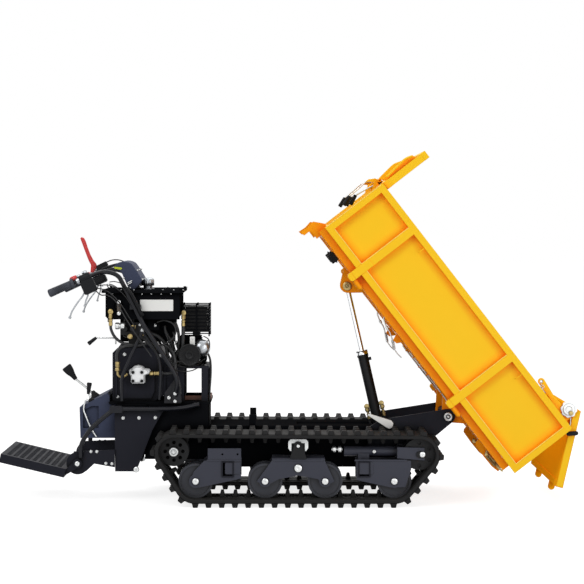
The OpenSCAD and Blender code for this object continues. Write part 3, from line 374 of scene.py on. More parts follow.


# Each finish's crease colour is painted shade, laid into its corners and creases by the coating group.
yellow = finish("yellow paint", "#ffca1f", painted_shade="#ff9600", rough=0.42, dust=0.02, edge=3.0, shine=0.12)
# The same yellow paint in the colour it shows in shadow: painted shade for the bed frame, the floor's
# folded edges and the brackets under the bed.
orange = finish("shaded yellow paint", "#ffa008", painted_shade="#f57c06", rough=0.45, dust=0.02, edge=3.0,
                shine=0.1)
# Yellow lightened into a painted highlight, for the thin lines along the folds of the drop sides.
pale = finish("yellow with painted edge highlight", "#ffe468", painted_shade="#ffc830", rough=0.4, dust=0.0, shine=0.3)
# The same yellow paint in the colour it shows in shade: painted shade for the tailgate.
shaded_gate_yellow = finish("tailgate yellow with painted shade", "#ffb414", painted_shade="#ff8a00", rough=0.7, dust=0.02, shine=0.0)
dark = finish("chassis paint", "#1e1f27", painted_shade="#0a0b0e", rough=0.55, dust=0.02, ripple=0.12, shine=0.1)
flat = finish("flat black", "#131417", painted_shade="#050506", rough=0.8, dust=0.01, ripple=0.12, shine=0.0)
black = finish("black enamel", "#0b0c0f", painted_shade="#030304", rough=0.46, dust=0.02, ripple=0.12, shine=0.2)
plate = finish("undercarriage paint", "#343641", painted_shade="#101116", rough=0.46, dust=0.03, ripple=0.12,
               shine=0.25)
bent = finish("tube paint", "#16171d", painted_shade="#08080a", rough=0.32, dust=0.01, ripple=0.08, shine=0.22)
slate = finish("slate moulding", "#3f455a", painted_shade="#1d202b", rough=0.6, dust=0.02, grain=1400.0,
               ripple=0.2, shine=0.1)
wheel = finish("roller casting", "#2d2f37", painted_shade="#121317", rough=0.45, dust=0.05, grain=500.0,
               ripple=0.3, shine=0.3)
tread = finish("track rubber", "#1d1d1e", painted_shade="#060606", rough=0.65, dust=0.03, grain=420.0, ripple=0.5,
               edge=3.0,
               shine=0.15)
rubber = finish("soft rubber", "#17181b", painted_shade="#08080a", rough=0.6, dust=0.02, grain=1600.0, ripple=0.3,
                shine=0.15)
grip = finish("grip rubber", "#42454d", painted_shade="#1d1f24", rough=0.6, dust=0.03, grain=1600.0, ripple=0.3,
              shine=0.2)
hose = finish("hose cover", "#131417", painted_shade="#060607", rough=0.44, dust=0.02, grain=2600.0, ripple=0.4,
              shine=0.4)
plastic = finish("black plastic", "#121316", rough=0.5, dust=0.01, grain=1800.0, ripple=0.18, shine=0.15)
zinc = finish("zinc plating", "#d4d6d6", painted_shade="#77797b", rough=0.3, metal=0.75, dust=0.06, patch=90.0,
              ripple=0.1)
gold = finish("chromated fittings", "#ac9865", painted_shade="#5c4a26", rough=0.34, metal=0.8, dust=0.05,
              patch=70.0)
nickel = finish("nickelled steel", "#a9adb1", painted_shade="#4e5054", rough=0.26, metal=0.9, dust=0.02,
                patch=40.0)
chrome = finish("chrome", "#e6e8ea", rough=0.1, metal=1.0, dust=0.02, ripple=0.02, patch=20.0)
cast = finish("cast aluminium", "#e6e7e8", painted_shade="#86898c", rough=0.46, metal=0.35, dust=0.08, grain=700.0,
              ripple=0.4)
white = finish("white plate", "#f1f1ee", painted_shade="#b9bab8", rough=0.4, dust=0.05)
lime = finish("bare tag", "#b9c623", rough=0.4, dust=0.05)
red = finish("red grip", "#c81f1d", painted_shade="#6d0d0c", rough=0.36, coat=0.2, dust=0.04)
brown = finish("primed plate", "#6b3a22", painted_shade="#2c1710", rough=0.6, dust=0.2, patch=14.0)
amber = finish("gauge tube", "#4a3b26", painted_shade="#191510", rough=0.15, coat=0.6, dust=0.0)
print("finishes:", len(bpy.data.materials))

# %% [markdown]
# ## Paint the CAD parts
# The frame, wheels, bed and engine keep their CAD meshes and only receive a finish. The table goes
# from a finish to the nodes that wear it on the real machine.

# %% Finishes of the carried-over nodes
wears = {
    plate: "roller_brackets_left roller_brackets_right bogie_left bogie_right tensioners",
    dark: "cross_tubes hinge_plates station_plates gearbox engine_stand platform",
    flat: "main_frame hydraulic_tank muffler_guard engine",
    black: "muffler cylinder_barrel valve_block sprocket_left sprocket_right idler_left idler_right",
    wheel: "road_rollers_left road_rollers_right carrier_rollers",
    slate: "cowl console",
    yellow: "bed_floor headboard rear_posts side_left side_right",
    # The tailgate and the bed frame wear yellow with painted shade.
    shaded_gate_yellow: "tailgate",
    orange: "bed_frame",
    cast: "gear_pump",
    chrome: "cylinder_rod",
    plastic: "switch_boxes",
    rubber: "grips control_levers hoses track_left track_right bed_fittings",
    bent: "handlebar_left handlebar_right guard_rail",
}
for material, names in wears.items():
    for name in names.split():
        mesh = nodes[name].data
        mesh.materials.clear()
        mesh.materials.append(material)
print("painted nodes:", sum(len(names.split()) for names in wears.values()))

# %% [markdown]
# ## The rubber tracks
# A track is one endless belt with ground lugs outside and guide lugs inside that run between the
# roller flanges. Its middle line is worked out as arcs round four pulleys joined by tangents; the
# belt is a profile carried along that line, and a lug is a small grid placed at each pitch.

# %% The track's middle line
TRACK_Y, TRACK_W, BELT, LUGS = 320, 230, 24, 48
PULLEYS = np.array([(-630, 296, 81), (-511, 138, 94), (564, 138, 94), (700, 283, 86)])


def track_line(count):
    """Points and headings, evenly spaced, on the line half a belt outside the pulleys.

    The run from one pulley to the next leaves at the angle where a line touches both circles:
    the heading between centres plus asin of the difference of radii over their distance."""
    after = np.roll(PULLEYS, -1, axis=0)
    step = after[:, :2] - PULLEYS[:, :2]
    gap = np.linalg.norm(step, axis=1)
    run = np.arctan2(step[:, 1], step[:, 0]) + np.arcsin((PULLEYS[:, 2] - after[:, 2]) / gap)
    wrap = (run - np.roll(run, 1)) % (2 * np.pi)
    radius = PULLEYS[:, 2] + BELT / 2
    straight = np.sqrt(gap**2 - (PULLEYS[:, 2] - after[:, 2]) ** 2)
    lengths = np.stack([wrap * radius, straight], 1).ravel()
    marks = np.concatenate([[0], np.cumsum(lengths)])
    start = ((np.pi - (run[-1] - np.pi / 2)) % (2 * np.pi)) * radius[0]
    s = (start + np.arange(count) * marks[-1] / count) % marks[-1]
    k = np.searchsorted(marks, s, side="right") - 1
    i, along = k // 2, s - marks[k]
    on_arc = k % 2 == 0
    heading = np.where(on_arc, np.roll(run, 1)[i] + along / radius[i], run[i])
    x = PULLEYS[i, 0] + radius[i] * np.sin(heading) + np.where(on_arc, 0, along * np.cos(heading))
    z = PULLEYS[i, 1] - radius[i] * np.cos(heading) + np.where(on_arc, 0, along * np.sin(heading))
    return x, z, heading


def on_belt(x, z, heading, along, across, out):
    """Belt coordinates (along, across, outwards) at stations of the middle line, as machine points."""
    c, s = np.cos(heading), np.sin(heading)
    return np.stack(np.broadcast_arrays(x + along * c + out * s, TRACK_Y + across, z + along * s - out * c),
                    -1)


# %% Belt, ground lugs and guide lugs
def repeated(grids, rows, ring):
    """Equal closed grids, one for each lug: the first one's faces, counted on for every copy."""
    size = rows * ring
    first = np.arange(LUGS)[:, None, None] * size
    around = (np.array(grid_faces(rows, ring))[None] + first).reshape(-1, 4).tolist()
    ends = [[k * size + (rows - 1) * ring * end + i for i in range(ring)] for k in range(LUGS)
            for end in (0, 1)]
    return grids.reshape(-1, 3), around + ends


def track_shape():
    """Belt section swept along the middle line, with a ground lug and a guide lug at each pitch."""
    half, mid = TRACK_W / 2, BELT / 2
    stations = LUGS * 8
    x, z, heading = (v[:, None] for v in track_line(stations))
    section = np.array([
        (-half, -mid + 3), (-half + 3, -mid), (-70, -mid), (-64, -mid - 2), (-30, -mid - 2), (-26, -mid),
        (26, -mid), (30, -mid - 2), (64, -mid - 2), (70, -mid), (half - 3, -mid), (half, -mid + 3),
        (half, mid - 6), (half - 5, mid - 1.5), (-half + 5, mid - 1.5), (-half, mid - 6),
    ])
    belt = on_belt(x, z, heading, 0, section[None, :, 0], section[None, :, 1]).reshape(-1, 3)
    x, z, heading = (v[:, None, None] for v in track_line(LUGS))
    across = np.array([-half, -half + 3, -74, -66, -16, -8, 8, 16, 66, 74, half - 3, half])[:, None]
    rise = np.array([0.5, 1, 1, 0.62, 0.62, 1, 1, 0.62, 0.62, 1, 1, 0.5])[:, None]
    lug = np.array([(-19, -2), (-16.5, 4), (-13.5, 17), (-11, 20), (11, 20), (13.5, 17), (16.5, 4),
                    (19, -2)])
    sunk, swell = 0.5, 1.02
    height = mid - sunk + lug[:, 1] * np.where(lug[:, 1] > 0, rise, 1) * swell
    ground = on_belt(x, z, heading, lug[:, 0], across, height)
    wide = np.array([-22, -19, 19, 22])[:, None]
    tooth = np.array([(-15, 2), (-14, -8), (-8.5, -33), (-6, -36), (6, -36), (8.5, -33), (14, -8), (15, 2)])
    lean = np.array([0.9, 1, 1, 0.9])[:, None]
    guide = on_belt(x, z, heading, tooth[:, 0] * lean, wide, -mid + tooth[:, 1] * lean)
    return joined((belt, grid_faces(stations, len(section), loop=True)),
                  repeated(ground, len(across), len(lug)),
                  repeated(guide, len(wide), len(tooth)))


left_track = track_shape()
for side, shape in (("left", left_track), ("right", mirrored(left_track))):
    belt = piece(f"rubber_track_{side}", shape, tread, "chassis")
    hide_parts(f"track_{side}")

# %% [markdown]
# ## Fasteners
# A bolt is drawn once, with its washer, a chamfered hexagon and the small dish in its crown, and
# copied to the places where the photograph shows bright zinc heads. Both sides get them.


# %% Bolt, pin and nut templates
def bolt(size=8.0):
    """Washer and hexagon head of a bolt, standing up from z = 0; size is its thread."""
    washer = lathe([(1.15 * size, 0), (1.2 * size, 0.06 * size), (1.2 * size, 0.2 * size),
                    (1.1 * size, 0.26 * size)], sides=24)
    head = lathe([(0.9 * size, 0.2 * size), (0.95 * size, 0.8 * size), (0.82 * size, 0.92 * size),
                  (0.5 * size, 0.92 * size), (0.44 * size, 0.84 * size)], sides=6)
    return joined(washer, head)


def dome(radius, height):
    """Round end of a pin with a chamfered rim and a centre mark."""
    return lathe([(radius, 0), (radius, 0.6 * height), (0.86 * radius, 0.9 * height),
                  (0.6 * radius, height), (0.3 * radius, height), (0.22 * radius, 0.8 * height)], sides=32)


def on_side(places, y):
    """Places in the side view, (x, z) pairs, set at one distance across."""
    return [(x, y, z) for x, z in places]


# %% Undercarriage fasteners
AXLE_Z, AXLE_END, BRACKET_FACE = 138, 403, 397
ROLLERS = (-511, -135, 190, 564)
BOGIE_X, CARRIER_Z = 44, 330
axle_ends = copies(dome(17, 6), on_side([(x, AXLE_Z) for x in ROLLERS], AXLE_END - 1), (0, 1, 0))
pivots = joined(
    copies(dome(20, 6), on_side([(BOGIE_X, 209)], AXLE_END - 1), (0, 1, 0)),
    copies(dome(15, 6), on_side([(716, 284)], AXLE_END + 1), (0, 1, 0)),
    copies(dome(9, 5), on_side([(BOGIE_X, CARRIER_Z)], AXLE_END + 3), (0, 1, 0)),
)
guard_bolts = copies(dome(10, 6), on_side([(458, 292)], 346), (0, 1, 0))
adjuster = joined(
    lathe([(8, 0), (8, 60)], (226, TRACK_Y, 303), (1, 0, 0), 20),
    *[lathe([(15, 0), (16.5, 3), (16.5, 15), (15, 18)], (x, TRACK_Y, 303), (1, 0, 0), 6)
      for x in (232, 262)],
)
hub = joined(
    lathe([(23, 0), (25, 3), (25, 9), (22, 12), (17, 12), (16, 8)], (-630, 384, 296), (0, 1, 0)),
    copies(bolt(10), [(-630, 391, 296)], (0, 1, 0)),
)
carrier_yoke = prism(
    [(-10, 318), (-10, 352), (2, 366), (86, 366), (98, 352), (98, 318), (88, 302), (80, 302), (80, 344),
     (8, 344), (8, 302), (0, 302)],
    388, 396,
)
undercarriage = joined(axle_ends, pivots, guard_bolts, adjuster, hub)
piece("undercarriage_fasteners", both_sides(undercarriage), zinc, "chassis")
piece("carrier_yokes", both_sides(carrier_yoke), zinc, "chassis", 0.8)

# %% [markdown]
# The brackets of the rollers are folded and welded plates. What tells that to the eye is the pale
# line along each folded top edge, the square ends of the cross tubes that are welded into them and
# the small foot that carries the upper roller, so these three are laid on the flat CAD plates.

# %% Folded lips, tube ends and carrier feet
lip_runs = ((-453, -262), (-93, 181), (348, 636))
lips = joined(*[prism([(x0, 247), (x1, 247), (x1 - 3, 256), (x0 + 3, 256)],
                      BRACKET_FACE - 2, BRACKET_FACE + 2)
                for x0, x1 in lip_runs])
tube_ends = joined(*[prism(rounded(x, 176, x + 84, 241, 9), BRACKET_FACE - 3, BRACKET_FACE + 2.5)
                     for x in (-352, 366)])
feet_arc = np.radians(np.linspace(0, 180, 13))
foot_top = np.stack([BOGIE_X + 24 * np.cos(feet_arc), CARRIER_Z + 24 * np.sin(feet_arc)], 1)
foot = prism([(BOGIE_X - 46, 262), (BOGIE_X + 46, 262), *foot_top], 397, AXLE_END + 3)
piece("bracket_lips", both_sides(joined(lips, tube_ends)), plate, "chassis", 1.2)
piece("carrier_feet", both_sides(foot), black, "chassis", 1.5)

# %% Bolts of the operator station and the hinge
station_bolts = joined(
    copies(bolt(8), on_side([(-919, 461), (-831, 461), (-741, 462)], 219), (0, 1, 0)),
    copies(bolt(7), on_side([(-1095, 277), (-1063, 277), (-1013, 212), (-980, 210)], 229), (0, 1, 0)),
    copies(dome(16, 7), [(-845, 219, 176)], (0, 1, 0)),
    copies(dome(13, 6), [(-1168, 253, 213)], (0, 1, 0)),
)
casing_bolts = copies(bolt(8), on_side([(-920, 803), (-959, 567), (-717, 798)], 119.5), (0, 1, 0))
hinge_ends = joined(
    lathe([(14, 0), (23, 0), (23, 4), (20, 5), (18, 2), (14, 2)], (874, 213.5, 467), (0, 1, 0), loop=True),
    copies(bolt(6), [(874, 214, 467)], (0, 1, 0)),
)
strut_bolts = copies(bolt(8), on_side([(-632, 595), (-632, 553), (-666, 573), (-812, 944)], 229), (0, 1, 0))
piece("station_bolts", both_sides(joined(station_bolts, casing_bolts)), zinc, "chassis")
piece("hinge_ends", both_sides(joined(hinge_ends, strut_bolts)), zinc, "chassis")

# %% [markdown]
# ## Handlebars, struts and guard rails
# The CAD tubes are coarse polygons. The same routes, sampled finely, give the smooth bent tubes of
# the real machine, and these pieces stand for the CAD nodes. Two thin struts brace each handlebar.

# %% Bent tubes
BAR_Y, GRIP_Y, BAR_R = 250, 335, 12.5
GRIP_START, GRIP_SLOPE = np.array([-1175, GRIP_Y, 1211]), np.radians(24)
GRIP_LINE = np.array([np.cos(GRIP_SLOPE), 0, np.sin(GRIP_SLOPE)])
bar_route = [(-625, 190, 546), (-625, 220, 600), (-625, BAR_Y, 690), (-713, BAR_Y, 838), (-807, BAR_Y, 983),
             (-906, BAR_Y, 1179), (-950, BAR_Y, 1248), (-1023, BAR_Y + 10, 1267),
             (-1090, GRIP_Y - 12, 1248)]
bar_route += [tuple(GRIP_START + 25 * t * GRIP_LINE) for t in (2, 1, 0)]
plate_foot = joined(
    prism([(-650, 546), (-596, 546), (-603, 640), (-622, 700), (-648, 640)], 214, 222),
    prism([(-694, 540), (-600, 540), (-600, 640), (-622, 690), (-690, 600)], 200, 208),
)
handlebar = joined(
    tube(bar_route, BAR_R, 20, 8),
    plate_foot,
    slab((-880, 200, 1060), (-820, BAR_Y, 1085)),
    tube([(-807, 222, 948), (-830, 224, 900), (-917, 218, 706), (-927, 206, 640), (-927, 200, 552)],
         9, 16, 6),
    tube([(-807, 222, 930), (-770, 226, 880), (-724, 222, 800), (-712, 214, 700), (-720, 204, 560)],
         8, 16, 6),
    prism(rounded(-830, 926, -796, 962, 12), 212, 230),
)
rail_route = [(-1150, 243, 246), (-1145, 243, 320), (-1100, 243, 395), (-1040, 243, 452), (-980, 243, 500),
              (-945, 243, 511), (-900, 243, 513), (-800, 243, 513), (-700, 243, 513), (-640, 240, 514),
              (-570, 222, 520), (-520, 206, 530), (-500, 203, 532)]
for side, turn in SIDES:
    bar = piece(f"bent_handlebar_{side}", turn(handlebar), bent, "chassis", 1.0)
    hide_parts(f"handlebar_{side}")
rail_clamp = prism(rounded(-990, 492, -918, 530, 10), 226, 258)
rail_shape = both_sides(joined(tube(rail_route, BAR_R, 20, 8), rail_clamp))
rail = piece("bent_guard_rails", rail_shape, bent, "chassis", 1.0)
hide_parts("guard_rail")

# %% [markdown]
# ## Grips, switches and hand levers
# A moulded grip has a flange, fine ribs along most of its length and a rounded end. Its profile is
# a sine wave on a straight line, turned round the tube's own direction.

# %% Grips
GRIP_LEN = 152
h = np.linspace(0, 1, 60)
ribs = 20 + 2.4 * h + 0.9 * np.sin(h * 60 * np.pi) * (h > 0.08) * (h < 0.93)
profile = [(12.8, 0), (27, 0.5), (29, 4), (27, 16), (21, 19), *zip(ribs, 20 + h * (GRIP_LEN - 28)),
           (21.5, GRIP_LEN - 5), (17, GRIP_LEN - 1), (5, GRIP_LEN)]
grips = piece("ribbed_grips", both_sides(lathe(profile, GRIP_START, -GRIP_LINE, 28)),
              grip, "chassis")
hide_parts("grips")


# %% Switch boxes, levers and their cables
def on_bar(shape):
    """Drawn along the grip's tube, x forwards from its start, carried to its slope."""
    points, faces = shape
    return points @ pitch(-GRIP_SLOPE).T + GRIP_START, faces


def switch_box(bottom):
    """Box under the bar with a raised lid and the clamp that holds it; bottom is how far it hangs down."""
    ring = lathe([(12.6, 0), (20, 0), (22, 3), (22, 56), (20, 59), (12.6, 59)], (36, 0, 0), (1, 0, 0),
                 24, loop=True)
    body = prism(rounded(28, bottom, 102, -12, 12), -21, 21)
    lid = prism(rounded(38, bottom + 12, 90, -30, 6), -24, -20)
    return on_bar(joined(ring, body, lid))


switch_body = joined(switch_box(-60), mirrored(switch_box(-90)))
switches = piece("switch_housings", switch_body, plastic, "chassis", 1.5)
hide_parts("switch_boxes")
adjusters = joined(
    on_bar(lathe([(12.6, 0), (17, 0), (17, 16), (12.6, 16)], (16, 0, 0), (1, 0, 0), 24, loop=True)),
    on_bar(lathe([(4, 0), (9, 0), (9, 12), (6, 14), (6, 24), (3, 24)], (44, -6, 20), (-1, 0, 0.15), 16)),
    on_bar(lathe([(4, 0), (11, 0), (11, 14), (7, 16), (7, 26), (3, 26)], (84, -6, 24), (-1, 0, 0.25), 16)),
)
button = on_bar(lathe([(5, 0), (13, 1), (15, 6), (15, 30), (13, 38), (8, 42), (2, 43)], (26, -6, 19),
                      (-1, 0, 0.04), 28))
piece("stop_buttons", both_sides(button), red, "chassis")
steel_levers = joined(
    adjusters,
    tube([(-1112, 330, 1180), (-1128, 330, 1140), (-1158, 330, 1100), (-1186, 330, 1056),
          (-1197, 330, 1026)], 4.5, 12),
    tube([(-1098, 326, 1178), (-1100, 326, 1144), (-1112, 326, 1112), (-1117, 326, 1088)], 4, 12),
    lathe([(4, -7), (7.5, -5), (8, 0), (7, 5), (3, 7)], (-1199, 330, 1020), (-0.4, 0, -1), 20),
    lathe([(3, -6), (6.5, -4), (7, 0), (6, 4), (3, 6)], (-1118, 326, 1084), (-0.3, 0, -1), 20),
    copies(bolt(3), [(-1086, 317, 1168), (-1060, 317, 1180)], (0, -1, 0)),
)
piece("hand_levers", both_sides(steel_levers), nickel, "chassis")
cables = joined(
    tube([(-1050, 330, 1180), (-1020, 300, 1172), (-985, 262, 1150), (-930, 244, 1090), (-880, 234, 1010),
          (-850, 226, 960)], 3.2, 10),
    tube([(-1060, 326, 1168), (-1032, 300, 1142), (-996, 268, 1138), (-952, 258, 1100), (-900, 252, 1010),
          (-830, 246, 900), (-760, 236, 800)], 3.2, 10),
    tube([(-1046, 320, 1192), (-1010, 276, 1196), (-960, 240, 1180), (-905, 226, 1130), (-862, 228, 1060)],
         2.8, 10),
    tube([(-640, 222, 760), (-600, 190, 770), (-560, 170, 742), (-500, 120, 752), (-470, 60, 800)], 3, 10),
    tube([(-660, 226, 740), (-610, 180, 716), (-540, 140, 716), (-478, 100, 752)], 3, 10),
)
piece("control_cables", both_sides(cables), hose, "chassis")

# %% [markdown]
# ## Levers of the console and the cowl
# The gear lever has a tapered rubber grip that widens to its end, so a superellipse section grows
# along it. It stands just high enough to clear the folded platform. The red clutch lever is a flat
# blade with a rib along its middle.


# %% Tapered grips
def tapered_grip(foot, tip, wide, thick, flare=0.62):
    """Grip between two points: a rounded-square section that swells from flare to full width."""
    foot, tip = np.array(foot, float), np.array(tip, float)
    h = np.array([0, 0.02, 0.06, 0.3, 0.6, 0.9, 0.97, 1.0])
    size = np.array([flare * 0.8, flare, flare, flare + 0.12, 0.86, 1.0, 0.96, 0.8])
    sides, squareness = 28, 0.6
    a = np.linspace(0, 2 * np.pi, sides, endpoint=False)
    x = np.sign(np.cos(a)) * np.abs(np.cos(a)) ** squareness * wide / 2
    y = np.sign(np.sin(a)) * np.abs(np.sin(a)) ** squareness * thick / 2
    rise = h * np.linalg.norm(tip - foot)
    points = np.stack([np.outer(size, x), np.outer(size, y), np.outer(rise, np.ones(sides))],
                      -1).reshape(-1, 3)
    last = (len(h) - 1) * sides
    faces = grid_faces(len(h), sides) + [list(range(sides))[::-1], list(range(last, last + sides))]
    return points @ toward(tip - foot).T + foot, faces


gear_foot, gear_tip = (-1212, 60, 649), (-1268, 60, 722)
lever_grips = joined(
    tapered_grip(gear_foot, gear_tip, 56, 46, 0.42),
    tapered_grip((-1122, -120, 583), (-1115, -120, 646), 28, 26, 0.6),
    tapered_grip((-1093, 30, 887), (-1138, 30, 852), 24, 24, 0.7),
    lathe([(26, 0), (28, 3), (22, 12), (20, 18), (14, 26), (12, 34), (7, 40)], (-1100, 60, 548),
          (-0.457, 0, 0.89), 28),
    lathe([(18, 0), (19, 3), (13, 10), (8, 16)], (-1105, -120, 545), (-0.457, 0, 0.89), 24),
)
levers = piece("lever_grips", lever_grips, rubber, "chassis")
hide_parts("control_levers")
lever_rods = joined(
    tube([(-1098, 60, 548), (-1150, 60, 600), gear_foot], 7, 14, 4),
    tube([(-1105, -120, 545), (-1121, -120, 590)], 5.5, 14, 4),
    tube([(-1122, -164, 560), (-1134, -165, 548), (-1142, -166, 503), (-1131, -166, 468),
          (-1103, -166, 401), (-1072, -166, 350)],
         4.5, 12),
    tube([(-1093, 30, 887), (-1062, 30, 886), (-995, 30, 884), (-984, 30, 872), (-984, 30, 850)], 4.5, 12),
)
piece("lever_rods", lever_rods, zinc, "chassis")
lever_edge = [(-1181, 1449), (-1172, 1457), (-1159, 1451), (-1149, 1432), (-1138, 1397), (-1123, 1358),
              (-1105, 1324), (-1090, 1306), (-1086, 1291), (-1090, 1278), (-1105, 1255), (-1123, 1257),
              (-1120, 1289), (-1120, 1311), (-1131, 1341), (-1149, 1388), (-1161, 1423), (-1172, 1440)]
lever_line = [(-1172, 1452), (-1128, 1335), (-1106, 1290), (-1110, 1262)]
lever_blade = prism(lever_edge, -7, 7)
lever_rib = tube([(x, 0, z) for x, z in lever_line], 9, 14, 4)
piece("clutch_lever", joined(lever_blade, lever_rib), red, "chassis", 3.0)
lever_stand = joined(
    prism([(-1086, 1264), (-1086, 1296), (-1037, 1320), (-1024, 1304), (-1030, 1284), (-1050, 1266)],
          -26, 26),
    *[tube([(-1056, y, 1278), (-1013, y, 1291), (-979, y, 1300), (-938, y, 1308)], 8, 14, 5)
      for y in (-34, 34)],
    tube([(-1034, -8, 1314), (-1000, -12, 1327), (-962, -16, 1328), (-930, -20, 1318)], 3, 10),
)
piece("lever_stand", lever_stand, black, "chassis", 1.5)

# %% [markdown]
# The cowl is one shield-shaped moulding across the machine. Its outline is read as sixteen points
# and smoothed by the same curve that bends the tubes, and a wide bevel rounds it like a moulding.

# %% Cowl with its studs and the bare tag
cowl_edge = [(-979, 1290), (-962, 1310), (-936, 1320), (-911, 1321), (-881, 1310), (-860, 1284),
             (-838, 1250), (-822, 1221), (-828, 1203), (-847, 1180), (-862, 1166), (-884, 1166),
             (-900, 1184), (-919, 1225), (-936, 1262), (-962, 1278), (-979, 1290)]
COWL_HALF = 150
cowl_outline = curve([(x, 0, z) for x, z in cowl_edge], 4)[:-1, [0, 2]]
cowl = piece("moulded_cowl", prism(cowl_outline, -COWL_HALF, COWL_HALF),
             slate, "chassis", 7.0)
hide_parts("cowl")
stud = lathe([(5.5, -3), (5.5, 2), (4, 5), (1.5, 5.5)], sides=16)
clip = tube([(-900, 0, 1193), (-876, 0, 1206)], 3.5, 10, 2)
clips = [(clip[0] + (0, -COWL_HALF - 2, shift), clip[1]) for shift in (0, 9)]
side_studs = copies(stud, [(x, -COWL_HALF, z) for x, z in ((-921, 1230), (-885, 1176))], (0, -1, 0))
rear_studs = joined(*[copies(stud, [(x, y, z)], (x + 930, 0, z - 1210))
                      for x, z in ((-847, 1272), (-819, 1221), (-836, 1186)) for y in (-128, 0, 128)])
piece("cowl_studs", joined(rear_studs, side_studs, mirrored(side_studs), *clips), zinc, "chassis")
tag = prism([(-976, 1293), (-936, 1289), (-930, 1281), (-940, 1276), (-972, 1282)],
            -COWL_HALF - 3, -COWL_HALF + 1)
piece("cowl_tag", tag, lime, "chassis", 0.4)

# %% [markdown]
# ## The oil tank and its plumbing
# The tank has a bolted lid, a bright filler cap with a knurled rim and a sight gauge with two
# banjo nuts. Chromated fittings join it to the valve below and to the black hoses. Its plates are
# left bare.

# %% Tank
TANK_SIDE, LID_EDGE, LID_TOP, LID_UNDER = -200, 220.2, 1164.5, 1146
small = bolt(4.5)
above = [(x, y, LID_TOP) for x in (-1030, -930, -860, -700, -640, -588) for y in (-210, 210)]
below = [(x, y, LID_UNDER) for y in (-LID_EDGE, LID_EDGE) for x in (-979, -815, -763, -709, -654)]
lid_nuts = joined(copies(small, above), copies(small, below, (0, 0, -1)))
banjo = lathe([(6, 0), (11.5, 0), (12, 2), (12, 9), (10, 11), (4, 12)], sides=6)
gauge_nuts = copies(banjo, [(-942, TANK_SIDE - 8, z) for z in (1100, 1037)], (0, -1, 0))
piece("tank_fasteners", joined(lid_nuts, gauge_nuts), zinc, "chassis")
gauge = joined(prism(rounded(-953, 1046, -931, 1091, 5), TANK_SIDE - 14, TANK_SIDE - 3),
               lathe([(5.5, 0), (5.5, 46)], (-942, TANK_SIDE - 14, 1046), (0, 0, 1), 16))
piece("sight_gauge", gauge, amber, "chassis", 1.0)
piece("tank_plate", prism(rounded(-827, 1049, -644, 1112, 3), TANK_SIDE - 1.8, TANK_SIDE - 0.4),
      white, "chassis", 0.4)
CAP_X, CAP_Y, CAP_SIDES = -794, -60, 72
a = np.linspace(0, 2 * np.pi, CAP_SIDES, endpoint=False)
knurl = 34.4 + 0.9 * np.sign(np.sin(18 * a))
size, height = np.array([(0.94, 1186), (1, 1189), (1, 1212), (0.97, 1219), (0.86, 1225), (0.55, 1229),
                         (0.1, 1230)]).T
cap = np.stack([CAP_X + np.outer(size, knurl * np.cos(a)), CAP_Y + np.outer(size, knurl * np.sin(a)),
                np.outer(height, np.ones(CAP_SIDES))], -1).reshape(-1, 3)
cap_faces = grid_faces(len(size), CAP_SIDES)
cap_faces += [list(range(CAP_SIDES))[::-1], list(range(len(cap) - CAP_SIDES, len(cap)))]
neck = lathe([(36, 1164), (36, 1170), (25, 1171), (25, 1188)], (CAP_X, CAP_Y, 0), sides=32)
piece("filler_cap", joined((cap, cap_faces), neck), nickel, "chassis")


# %% [markdown]
# The gear pump is a die casting: a flange with two ears, a domed crown that follows the gears and
# a square foot. Its outline is drawn once and stepped inwards twice, which gives the drafted sides
# of a casting, and four dark screws sit in the corners.

# %% Gear pump
pump_outline = np.array([(-891, 704), (-888, 722), (-874, 730), (-862, 742), (-840, 748), (-818, 742),
                         (-806, 730), (-778, 726), (-770, 714), (-774, 702), (-794, 696), (-801, 690),
                         (-801, 654), (-808, 646), (-872, 646), (-880, 654), (-880, 690), (-886, 696)])
pump_middle = pump_outline.mean(0)
pump_steps = [prism(pump_middle + (pump_outline - pump_middle) * share, y0, y1)
              for share, y0, y1 in ((1.0, -176, -134), (0.93, -196, -170), (0.8, -204, -192))]
pump_drive = lathe([(44, 0), (46, 3), (46, 12), (30, 16)], (-840, -136, 700), (0, 1, 0), 32)
pump = piece("cast_pump", joined(*pump_steps, pump_drive), cast, "chassis", 2.0)
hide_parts("gear_pump")
screw = lathe([(8, 0), (8.5, 2), (8.5, 7), (7, 8), (4.5, 8), (4, 5)], sides=24)
pump_screws = copies(screw, [(x, -203, z) for x in (-866, -817) for z in (711, 663)], (0, -1, 0))
piece("pump_screws", pump_screws, black, "chassis")


# %% Fittings and hoses
def fitting(a, b, size=9.0):
    """Hose end from a to b: hexagon nut, neck and a crimped sleeve with two grooves."""
    a, b = np.array(a, float), np.array(b, float)
    span = np.linalg.norm(b - a)
    nut = lathe([(size * 1.2, 0), (size * 1.35, 1.5), (size * 1.35, span * 0.32),
                 (size * 1.2, span * 0.36)], a, b - a, 6)
    sleeve = lathe([(size * 0.8, span * 0.34), (size * 0.8, span * 0.45), (size * 1.25, span * 0.47),
                    (size * 1.25, span * 0.62), (size * 1.1, span * 0.64), (size * 1.1, span * 0.68),
                    (size * 1.25, span * 0.7), (size * 1.25, span * 0.97), (size * 1.05, span)],
                    a, b - a, 24)
    return joined(nut, sleeve)


